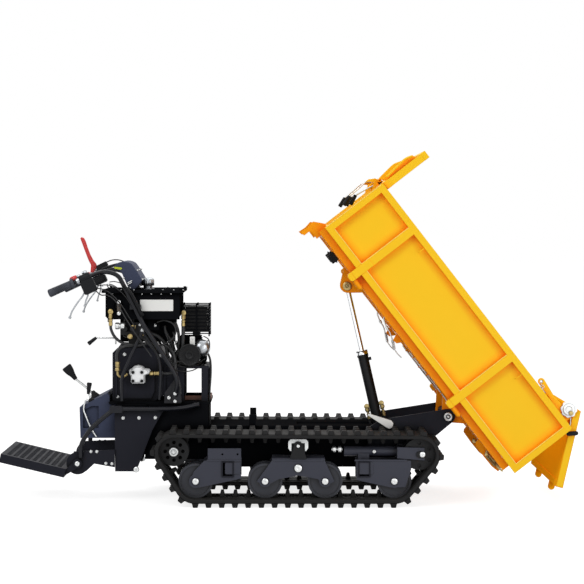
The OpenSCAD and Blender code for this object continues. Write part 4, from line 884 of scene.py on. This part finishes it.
elbow = lathe([(8, -12), (14, -10), (15.5, 0), (14, 10), (8, 12)], sides=24)
gold_fittings = joined(
    copies(elbow, [(-989, -202, 1046), (-590, -150, 1036)], (0, -1, 0)),
    fitting((-989, -206, 1034), (-989, -206, 968), 9),
    fitting((-590, -154, 1024), (-591, -154, 962), 9),
    fitting((-953, -178, 716), (-953, -178, 768), 10),
    tube([(-953, -178, 720), (-950, -178, 694), (-932, -176, 682), (-906, -174, 692), (-900, -173, 702)],
         6.5, 14),
    fitting((-776, -173, 702), (-722, -173, 702), 10),
    lathe([(13, 0), (14, 2), (14, 10), (9, 12)], (-863, -178, 961), (0, -1, 0), 6),
    copies(elbow, [(-884, -182, 908), (-818, -182, 912)], (0.3, -1, 0)),
)
piece("chromated_fittings", gold_fittings, gold, "chassis")
tank_bracket = joined(
    prism([(-788, 942), (-724, 942), (-724, 1000), (-788, 1000)], -150, -144),
    slab((-788, -150, 994), (-724, -110, 1000)),
    prism([(-950, 870), (-640, 870), (-640, 1000), (-950, 1000)], -52, -46),
    prism(rounded(-905, 934, -872, 996, 4), -186, -150),
)
piece("tank_bracket", tank_bracket, flat, "chassis", 1.5)
loom_h = np.linspace(0, 1, 121)
loom_path = curve([(-912, -262, 1190), (-873, -266, 1150), (-848, -266, 1106), (-826, -264, 1060),
                   (-808, -262, 1024)], 30)
loom = tube(loom_path, 9.5 + 1.2 * np.sin(loom_h * 2 * np.pi * 30), 16, 1)
piece("cable_loom", both_sides(loom), plastic, "chassis")
filter_can = joined(
    lathe([(15, 0), (19, 3), (19, 20), (15, 24), (15, 30), (19, 33), (19, 50), (15, 54)], (-966, -182, 966),
          (1, 0, 0), 28),
    copies(bolt(6), [(-830, -177, 970), (-747, -150, 966), (-815, -177, 938)], (0, -1, 0)),
    lathe([(11, 0), (13, 2), (13, 8), (11, 10)], (-716, -173, 702), (1, 0, 0), 6),
)
piece("valve_trim", filter_can, zinc, "chassis")
hose_routes = {
    10: [
        [(-953, -178, 766), (-956, -180, 800), (-944, -186, 836), (-908, -192, 856), (-850, -190, 858),
         (-800, -180, 866)],
        [(-704, -173, 702), (-668, -180, 702), (-640, -192, 716), (-632, -180, 760), (-650, -150, 820),
         (-700, -120, 860)],
        [(-818, -186, 908), (-780, -196, 872), (-740, -186, 822), (-722, -160, 760), (-726, -136, 700)],
        [(-591, -154, 964), (-592, -152, 900), (-596, -146, 820), (-606, -128, 760)],
        [(-860, -120, 960), (-790, -110, 930), (-730, -104, 900), (-690, -104, 850), (-680, -104, 780)],
        [(-700, -90, 960), (-690, -96, 920), (-664, -96, 880), (-650, -96, 820), (-656, -96, 760)],
        [(-920, -110, 900), (-890, -100, 930), (-850, -96, 910), (-830, -96, 870)],
    ],
    8: [
        [(-989, -206, 970), (-986, -206, 946), (-970, -204, 912), (-942, -202, 884), (-908, -198, 868),
         (-858, -194, 860), (-812, -180, 862)],
        [(-640, -130, 990), (-622, -130, 940), (-616, -128, 880), (-622, -126, 820), (-640, -124, 770)],
    ],
    5: [
        [(-736, -168, 985), (-700, -178, 996), (-662, -186, 988), (-638, -188, 968), (-630, -188, 936),
         (-645, -186, 900), (-676, -182, 872), (-712, -176, 860)],
        [(-600, -140, 760), (-630, -150, 740), (-664, -156, 708), (-709, -173, 690)],
    ],
    6: [
        [(-462, -70, 815), (-444, -84, 770), (-440, -104, 700), (-446, -112, 600), (-448, -108, 520),
         (-446, -100, 412)],
        [(-500, -90, 760), (-470, -104, 730), (-462, -116, 660), (-466, -116, 560), (-464, -104, 412)],
    ],
    3: [
        [(-480, -118, 905), (-452, -124, 888), (-446, -122, 850), (-462, -116, 814), (-486, -110, 796)],
        [(-630, -112, 880), (-616, -124, 820), (-600, -124, 776), (-560, -120, 752), (-500, -112, 760)],
        [(-650, -112, 900), (-640, -120, 840), (-620, -122, 790), (-590, -118, 760)],
        [(-650, -130, 930), (-620, -150, 830), (-580, -150, 770), (-520, -130, 756), (-470, -112, 780)],
        [(-690, -130, 920), (-640, -160, 800), (-600, -158, 754), (-540, -140, 744)],
        [(-700, -126, 880), (-662, -160, 780), (-612, -164, 742), (-556, -150, 736)],
    ],
}
hoses = joined(*[tube(route, radius, 14) for radius, routes in hose_routes.items() for route in routes])
hose_piece = piece("hydraulic_hoses", hoses, hose, "chassis")
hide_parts("hoses")

# %% [markdown]
# ## Engine details
# The engine's cast block, fins and caged silencer come from CAD. What a buyer notices on top of
# them is the spoked cup of the recoil starter, the white cover plate, the bright dome of the air
# cleaner and the spark plug.

# %% Engine trim
RECOIL = np.array([-556, -176, 804])
spoke_turns = np.linspace(0, 2 * np.pi, 24, endpoint=False)
spoke, spoke_faces = slab((-1.5, -4, 22), (1.5, 2, 56))
spokes = [(spoke @ pitch(turn).T + RECOIL, spoke_faces) for turn in spoke_turns]
recoil = joined(
    lathe([(10, 0), (14, 4), (22, 5), (26, 1), (52, 1), (57, 5), (61, 3), (62, -4), (62, -8)],
          RECOIL, (0, -1, 0), 48),
    *spokes,
)
piece("recoil_starter", recoil, black, "chassis")
dome_profile = [(44, 0), (48, 4), (48, 12), (44, 26), (34, 38), (20, 45), (6, 48)]
piece("air_cleaner_dome", lathe(dome_profile, (-492, -100, 838), (0.25, -1, 0), 40),
      nickel, "chassis")
cover = prism(rounded(-554, 825, -527, 905, 5), -152, -140)
cover_bolts = copies(bolt(4), [(-540, -152, 893), (-540, -152, 837)], (0, -1, 0))
piece("carburettor_plate", joined(cover, cover_bolts), white, "chassis", 1.0)
shroud_slats = joined(*[prism(rounded(-604, z, -446, z + 7, 3), -66, 82) for z in range(926, 1074, 15)])
piece("silencer_louvres", shroud_slats, black, "chassis")
engine_bolts = joined(
    copies(bolt(6), on_side([(-606, 772), (-506, 772), (-632, 860), (-480, 860)], -106), (0, -1, 0)),
    copies(bolt(6), on_side([(-606, 772), (-506, 772)], 96), (0, 1, 0)),
    copies(bolt(5), [(-608, -112, 742), (-470, -112, 742), (-608, 112, 742), (-470, 112, 742)]),
    lathe([(5, 0), (8, 1), (8, 8), (4, 10), (4, 24)], (-474, -20, 866), (1, 0, 0.4), 6),
)
piece("engine_fasteners", engine_bolts, zinc, "chassis")
base = prism(rounded(-586, 546.5, -439, 571, 3), -92, 92)
piece("primed_base", base, brown, "chassis", 1.0)

# %% [markdown]
# ## Fittings of the bed
# The headboard carries two release rods with black grips and yellow springs, the underside a long
# release rod with hooks, and the discharge end latches with a bright disc. They ride on the bed or
# on the tailgate, so they are drawn in the bed's frame.


# %% Springs, rods and grips at the headboard
def coil(a, b, radius, wire, turns):
    """Spring: a wire on a circle whose centre moves from a to b."""
    a, b = np.array(a, float), np.array(b, float)
    t = np.linspace(0, 1, int(turns * 14))
    ring = np.stack([radius * np.cos(2 * np.pi * turns * t), radius * np.sin(2 * np.pi * turns * t),
                     t * np.linalg.norm(b - a)], 1)
    path = ring @ toward(b - a).T + a
    return tube(path, wire, 6, 1, flat=tuple(toward(b - a)[:, 2]))


ROD_Y, ROD_GAP = 300, 26
rods = [
    tube([(-6, ROD_Y, 408), (-38, ROD_Y, 385), (-56, ROD_Y, 354), (-59, ROD_Y, 322), (-55, ROD_Y, 280),
          (-52, ROD_Y, 212)], 4.5, 12),
    tube([(-6, ROD_Y - ROD_GAP, 376), (-17, ROD_Y - ROD_GAP, 350), (-26, ROD_Y - ROD_GAP, 308),
          (-34, ROD_Y - ROD_GAP, 246)], 4.5, 12),
]
piece("headboard_rods", in_bed(both_sides(joined(*rods))), zinc, "bed")
grip_profile = [(5, 0), (10, 2), (10.5, 20), (12, 50), (12, 58), (9, 61)]
rod_grips = [lathe(grip_profile, (-53, ROD_Y, 216), (0.4, 0, -1), 20),
             lathe(grip_profile, (-36, ROD_Y - ROD_GAP, 247), (0.45, 0, -1), 20)]
piece("headboard_grips", in_bed(both_sides(joined(*rod_grips))), rubber, "bed")
latch_housing = joined(
    prism([(-2, 330), (-2, 404), (-26, 396), (-44, 384), (-62, 352), (-60, 330), (-48, 348), (-30, 366)],
          ROD_Y + 12, ROD_Y + 20),
    prism([(-2, 318), (-2, 400), (-24, 392), (-30, 366), (-18, 340)], ROD_Y - 44, ROD_Y - 36),
    prism(rounded(-20, 380, -2, 402, 4), ROD_Y - 44, ROD_Y + 20),
    coil((-20, ROD_Y - 10, 392), (-20, ROD_Y + 60, 396), 8, 2.2, 9),
)
piece("headboard_latches", in_bed(both_sides(latch_housing)), yellow, "bed", 1.0)

# %% [markdown]
# The headboard is a pressed sheet on a frame of square rails, and the guard above it repeats the
# pattern: three panels between rails. Sheet and rails are separate closed boxes that overlap, as
# parts that are welded together do.


# %% Headboard and its straight guard
def panelled_wall(back, front, bottom, top, half, rail, sheet):
    """Wall across the bed: a sheet at the load side, two long rails and four uprights between them."""
    posts = np.linspace(-half + 1, half - rail - 1, 4)
    return joined(
        slab((front - sheet, -half + 2, bottom + 2), (front - 1, half - 2, top - 2)),
        slab((back, -half, bottom), (front, half, bottom + rail)),
        slab((back, -half, top - rail), (front, half, top)),
        *[slab((back + 1, y, bottom + 1), (front - 0.5, y + rail, top - 1)) for y in posts],
    )


HALF_WIDTH, SHEET = 446, 4
wall = panelled_wall(0, 36, -4, 396, HALF_WIDTH, 32, SHEET)
guard = panelled_wall(0, 44, 397, 678, HALF_WIDTH, 30, SHEET)
arm = prism([(2, 412), (-16, 412), (-28, 511), (-32, 564), (-23, 612), (2, 622)],
            HALF_WIDTH - 34, HALF_WIDTH - 26)
arm_bar = tube([(-12, 440, 430), (-24, 440, 520), (-28, 440, 570), (-18, 440, 606)], 6, 12)
headboard_shape = in_bed(joined(wall, guard, both_sides(joined(arm, arm_bar))))
headboard = piece("panelled_headboard", headboard_shape, yellow, "bed", 2.0)
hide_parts("headboard")

# %% Rubber rests, hooks and the underside's release gear
rest = prism(rounded(137, -81.6, 191, -40.4, 3), 154, 196)
rest_lip = prism([(137, -64), (129, -60), (129, -56), (137, -52), (191, -52), (199, -56), (199, -60),
                  (191, -64)], 156, 194)
rests = piece("rubber_rests", in_bed(both_sides(joined(rest, rest_lip))), rubber, "bed", 2.0)
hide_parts("bed_fittings")
hook = prism([(20, -28), (22, -70), (-25, -69), (-35, -78), (-34, -113), (-60, -118), (-57, -70),
              (-65, -29), (-37, -3), (-15, 16), (8, 10)], 386, 396)
bracket = prism([(700, -40.4), (760, -40.4), (742, -74), (716, -78)], 292, 300)
guides = joined(*[slab((u, 246, -52), (u + 6, 262, -40.4)) for u in (860, 980, 1110)])
latch_arm = prism([(1430, -38), (1434, -60), (1446, -72), (1518, -75), (1594, -73), (1636, -62),
                   (1630, -38)], 290, 296)
# The brackets wear the yellow with painted shade.
piece("underbed_brackets", in_bed(both_sides(joined(hook, bracket, guides, latch_arm))),
      orange, "bed", 1.0)
link = joined(
    tube([(588, 296, -40), (600, 296, -50), (640, 296, -62), (676, 296, -66), (716, 296, -82)], 4, 10),
    lathe([(4, -10), (8, -8), (8, 8), (4, 10)], (644, 296, -62), (1, 0, -0.2), 20),
    tube([(828, 254, -46), (980, 254, -46), (1146, 254, -46), (1180, 254, -54)], 3.6, 10),
    coil((716, 288, -80), (760, 288, -102), 7, 2, 9),
    tube([(760, 288, -102), (790, 288, -104), (822, 288, -100)], 3, 8),
)
catch = joined(
    prism([(1501, -42), (1512, -58), (1537, -69), (1560, -60), (1583, -52), (1617, -55), (1650, -46),
           (1648, -38), (1617, -42), (1583, -38), (1545, -46), (1520, -40)], 298, 308),
    lathe([(6, -14), (13, -12), (13, 12), (6, 14)], (1524, 298, -54), (0, 1, 0), 24),
    lathe([(4, -10), (9, -9), (9, 9), (4, 10)], (1590, 300, -52), (0, 1, 0), 20),
    coil((1530, 312, -60), (1600, 312, -58), 6, 1.8, 10),
)
piece("underbed_links", in_bed(both_sides(link)), zinc, "bed")
piece("discharge_catches", in_bed(both_sides(catch)), gold, "bed", 0.6)

# %% Drop side details: rope hooks and hinge pads
cleat = joined(*[tube([(u, 490, 352), (u, 489, 340), (u, 487, 320), (u, 480, 312)], 2.6, 8)
                 for u in (412, 1265)])
RIBS, RIB_W, RAIL_W, SIDE_H, BED_LEN = (296, 1156), 46, 36, 390, 1661
hinge_pads = joined(*[prism(rounded(u - RIB_W / 2, -36, u + RIB_W / 2, 84, 4), 489.4, 492) for u in RIBS])
for side, turn in SIDES:
    piece(f"side_{side}_fittings", in_bed(turn(joined(cleat, hinge_pads))),
          yellow, f"drop_side_{side}", 0.8)

# %% [markdown]
# The floor's sheet is folded down along its sides, so no daylight shows between it and a closed
# side. The fold stops 1 mm short of the side and stays above the path that the hinge gives it.

# %% Folded edges of the floor
FLOOR_EDGE, FOLD_Y, FOLD_END = 445.8, 451, 1560
floor_fold = prism([(RAIL_W, -3), (FOLD_END, -3), (FOLD_END, -0.3), (RAIL_W, -0.3)], FLOOR_EDGE, FOLD_Y)
# The folded edges wear the yellow with painted shade.
piece("floor_edges", in_bed(both_sides(floor_fold)), orange, "bed")

# %% [markdown]
# Folded sheet shows its edges: a bend catches a pale line of light. Each of the three panels gets such
# a line along its lower edge and along the edge that faces the operator, as a thin bead that follows
# the fold; its paler yellow is a painted highlight.

# %% Painted highlight lines along the folds of the drop sides
EDGE_Y, BEAD_R = 489.4, 2.2
starts = [RAIL_W, *[u + RIB_W / 2 for u in RIBS]]
stops = [*[u - RIB_W / 2 for u in RIBS], BED_LEN - RAIL_W]
beads = [tube([(first, EDGE_Y, RAIL_W), ((first + last) / 2, EDGE_Y, RAIL_W), (last, EDGE_Y, RAIL_W)],
              BEAD_R, 8, 1)
         for first, last in zip(starts, stops)]
beads += [tube([(u, EDGE_Y, RAIL_W), (u, EDGE_Y, SIDE_H / 2), (u, EDGE_Y, SIDE_H - RAIL_W)], BEAD_R, 8, 1)
          for u in stops]
beads += [tube([(1, EDGE_Y, 4), (1, EDGE_Y, SIDE_H / 2), (1, EDGE_Y, SIDE_H - 12)], BEAD_R, 8, 1)]
for side, turn in SIDES:
    piece(f"side_{side}_edge_highlights", in_bed(turn(joined(*beads))), pale, f"drop_side_{side}")

# %% Latch discs with their links, wires and grips
DISC_U, DISC_N = 1574, 440
disc_edge = np.linspace(0, 2 * np.pi, 96, endpoint=False)
disc_r = 43 + 2.5 * np.cos(8 * disc_edge)
disc_outline = np.stack([DISC_U + disc_r * np.cos(disc_edge), DISC_N + disc_r * np.sin(disc_edge)], 1)
disc = joined(
    prism(disc_outline, 448, 456),
    lathe([(10, 6), (30, 6), (32, 9), (30, 12), (18, 12), (16, 9), (10, 9)], (DISC_U, 448, DISC_N),
          (0, 1, 0), 40),
)
disc_boss = lathe([(5, 8), (12, 8), (13, 12), (11, 17), (5, 18)], (DISC_U + 22, 448, DISC_N - 4), (0, 1, 0),
                  20)
LINK_R, LINK_WIRE = 8, 2.4
turn = np.linspace(0, 2 * np.pi, 8, endpoint=False)
link_section = np.stack([LINK_R + LINK_WIRE * np.cos(turn), LINK_WIRE * np.sin(turn)], 1)
link_places = (((1366, 442, 416), (0, 1, 0.2)), ((1378, 445, 408), (0.5, 0.6, 1)),
               ((1392, 446, 404), (0, 1, 0.2)))
ring_link = [lathe(link_section, place, axis, 20, loop=True) for place, axis in link_places]
piece("latch_discs", in_bed(both_sides(joined(disc, *ring_link))), zinc, "bed", 1.0)
piece("latch_bosses", in_bed(both_sides(disc_boss)), gold, "bed")
pull = joined(tube([(1612, 446, 424), (1640, 447, 400), (1656, 447, 376), (1672, 447, 360)], 3.6, 10))
piece("latch_wires", in_bed(both_sides(pull)), zinc, "bed")
handle = lathe([(4, 0), (10, 3), (12, 14), (12, 50), (9, 60), (4, 63)], (1672, 447, 350), (0.55, 0, 0.84),
               24)
piece("latch_handles", in_bed(both_sides(handle)), rubber, "bed")

# %% Inner lips of the tailgate
GATE_PIVOT, GATE_OPEN = np.array([1556, 0, 404]), np.radians(39)
GATE_U, GATE_HALF, GATE_TOP = 1623, 441, 425


def in_gate(shape):
    """Point of the closed tailgate, swung open about its pivot pins and then carried with the bed."""
    points, faces = shape
    return in_bed(((points - GATE_PIVOT) @ pitch(-GATE_OPEN).T + GATE_PIVOT, faces))


# The lips wear the tailgate's yellow with painted shade.
gate_lips = joined(
    slab((GATE_U - 3, -GATE_HALF + 1, 1), (GATE_U + 2, GATE_HALF - 1, RAIL_W)),
    *[slab((GATE_U - 2.5, y, 1.5), (GATE_U + 2, y + 24, 300))
      for y in (-GATE_HALF + 1.5, GATE_HALF - 25.5)],
)
piece("tailgate_lips", in_gate(gate_lips), shaded_gate_yellow, "tailgate", 0.8)
# The tailgate's outer sides wear the plain yellow, while the rest of it wears yellow with painted shade.
gate_side = prism([(GATE_U + 1, 4), (GATE_U + 36, 4), (GATE_U + 36, GATE_TOP - 4),
                   (GATE_U + 1, GATE_TOP - 4)], GATE_HALF,
                  GATE_HALF + 1.2)
piece("tailgate_edges", in_gate(both_sides(gate_side)), yellow, "tailgate", 0.5)

# %% Cylinder: port fittings, gland and pins
ports = both_ways(lambda s: joined(
    lathe([(10, 0), (13, 2), (13, 14), (9, 16)], (44 * s, 0, 150), (0, 0, 1), 6),
    copies(elbow, [(42 * s, 0, 176)], (0, 1, 0)),
    fitting((42 * s, 0, 164), (42 * s, 0, 104), 8.5),
    tube([(42 * s, 0, 176), (28 * s, 0, 178)], 8, 14, 2),
))
piece("cylinder_ports", in_ram(ports), gold, "ram_barrel")
ram_route = np.array([(42, 0, 106), (43, 0, 80), (40, 0, 56), (34, 0, 40)])
ram_hoses = both_ways(lambda s: tube(ram_route * (s, 1, 1), 7, 12))
piece("cylinder_hoses", in_ram(ram_hoses), hose, "ram_barrel")
gland = lathe([(14.6, 489), (22, 489), (24, 486), (30, 486), (32.4, 483), (32.4, 468), (30, 466)], sides=40)
piece("gland_ring", in_ram(gland), chrome, "ram_barrel")
eye_caps = joined(
    lathe([(10, 0), (24, 0), (25, 2), (25, 5), (22, 7), (12, 7), (10, 4)], (343, 36, -92), (0, 1, 0), 32),
    copies(bolt(5), [(343, 40, -92)], (0, 1, 0)),
)
piece("eye_caps", in_bed(both_sides(eye_caps)), gold, "bed")

# %% Stay lever beside the frame
stay = prism([(428, 476), (438, 484), (560, 446), (572, 430), (566, 406), (548, 400), (532, 408)], 208, 216)
piece("stay_levers", both_sides(stay), white, "chassis", 2.0)

# %% [markdown]
# ## Studio
# The camera stands level, nine metres off the near side, as the photograph's perspective says. The
# floor and the sky look white to the camera and to mirrors, while a dimmer sky and four soft
# lamps light the machine at a plain level.

# %% Camera
FRAME_MM, PHOTO_PX, DISTANCE, NEAR_SIDE, CAMERA_X, CAMERA_Z = 3144.8, 584, 9100, 435, -76, 1519
SHIFT_PX = (16, -66)
camera_data = bpy.data.cameras.new("camera")
camera = bpy.data.objects.new("camera", camera_data)
bpy.context.scene.collection.objects.link(camera)
camera.location = (CAMERA_X * MM, -(NEAR_SIDE + DISTANCE) * MM, CAMERA_Z * MM)
camera.rotation_euler = (np.pi / 2, 0, 0)
camera_data.lens = camera_data.sensor_width * DISTANCE / FRAME_MM
camera_data.shift_x, camera_data.shift_y = (shift / PHOTO_PX for shift in SHIFT_PX)
bpy.context.scene.camera = camera


# %% Floor, sky and lamps
def seen_or_mirrored(tree):
    """1 on rays from the camera, from mirrors and through glass, else 0."""
    path = tree.nodes.new("ShaderNodeLightPath")
    return math(tree, "MAXIMUM", path.outputs["Is Camera Ray"],
                math(tree, "MAXIMUM", path.outputs["Is Glossy Ray"], path.outputs["Is Transmission Ray"]))


world = bpy.data.worlds.new("studio")
world.use_nodes = True
bpy.context.scene.world = world
sky = world.node_tree.nodes["Background"]
sky.inputs["Color"].default_value = (1, 1, 1, 1)
DIM_SKY = 0.42
seen = seen_or_mirrored(world.node_tree)
strength = math(world.node_tree, "ADD", math(world.node_tree, "MULTIPLY", seen, 1 - DIM_SKY), DIM_SKY)
world.node_tree.links.new(strength, sky.inputs["Strength"])

floor_paint = bpy.data.materials.new("studio floor")
floor_paint.use_nodes = True
tree = floor_paint.node_tree
paint = tree.nodes["Principled BSDF"]
paint.inputs["Base Color"].default_value = (0.5, 0.5, 0.5, 1)
paint.inputs["Roughness"].default_value = 1.0
paint.inputs["Specular IOR Level"].default_value = 0.0
paint.inputs["Emission Color"].default_value = (1, 1, 1, 1)
tree.links.new(math(tree, "MULTIPLY", seen_or_mirrored(tree), 0.8), paint.inputs["Emission Strength"])
FLOOR = 60.0
floor_mesh = bpy.data.meshes.new("floor")
corners = [(-FLOOR, -FLOOR, 0), (FLOOR, -FLOOR, 0), (FLOOR, FLOOR, 0), (-FLOOR, FLOOR, 0)]
floor_mesh.from_pydata(corners, [], [(0, 1, 2, 3)])
floor_mesh.materials.append(floor_paint)
floor = bpy.data.objects.new("floor", floor_mesh)
bpy.context.scene.collection.objects.link(floor)

lamps = (("key", (-3.5, -5.0, 5.0), 4.0, 180), ("fill", (4.5, -4.5, 2.6), 3.5, 88),
         ("top", (0.5, 1.5, 5.5), 4.5, 140), ("low", (1.4, -3.4, 0.35), 2.6, 20))
LAMP_TARGET = (0, 0, 0.7)
for name, place, size, power in lamps:
    light = bpy.data.lights.new(name, "AREA")
    light.size = size
    light.energy = power
    lamp = bpy.data.objects.new(name, light)
    bpy.context.scene.collection.objects.link(lamp)
    lamp.location = place
    lamp.visible_camera = False
    aim = np.array(LAMP_TARGET) - place
    lamp.rotation_euler = (np.arctan2(np.hypot(aim[0], aim[1]), -aim[2]), 0, np.arctan2(-aim[0], aim[1]))
bpy.context.scene.view_settings.view_transform = "Standard"
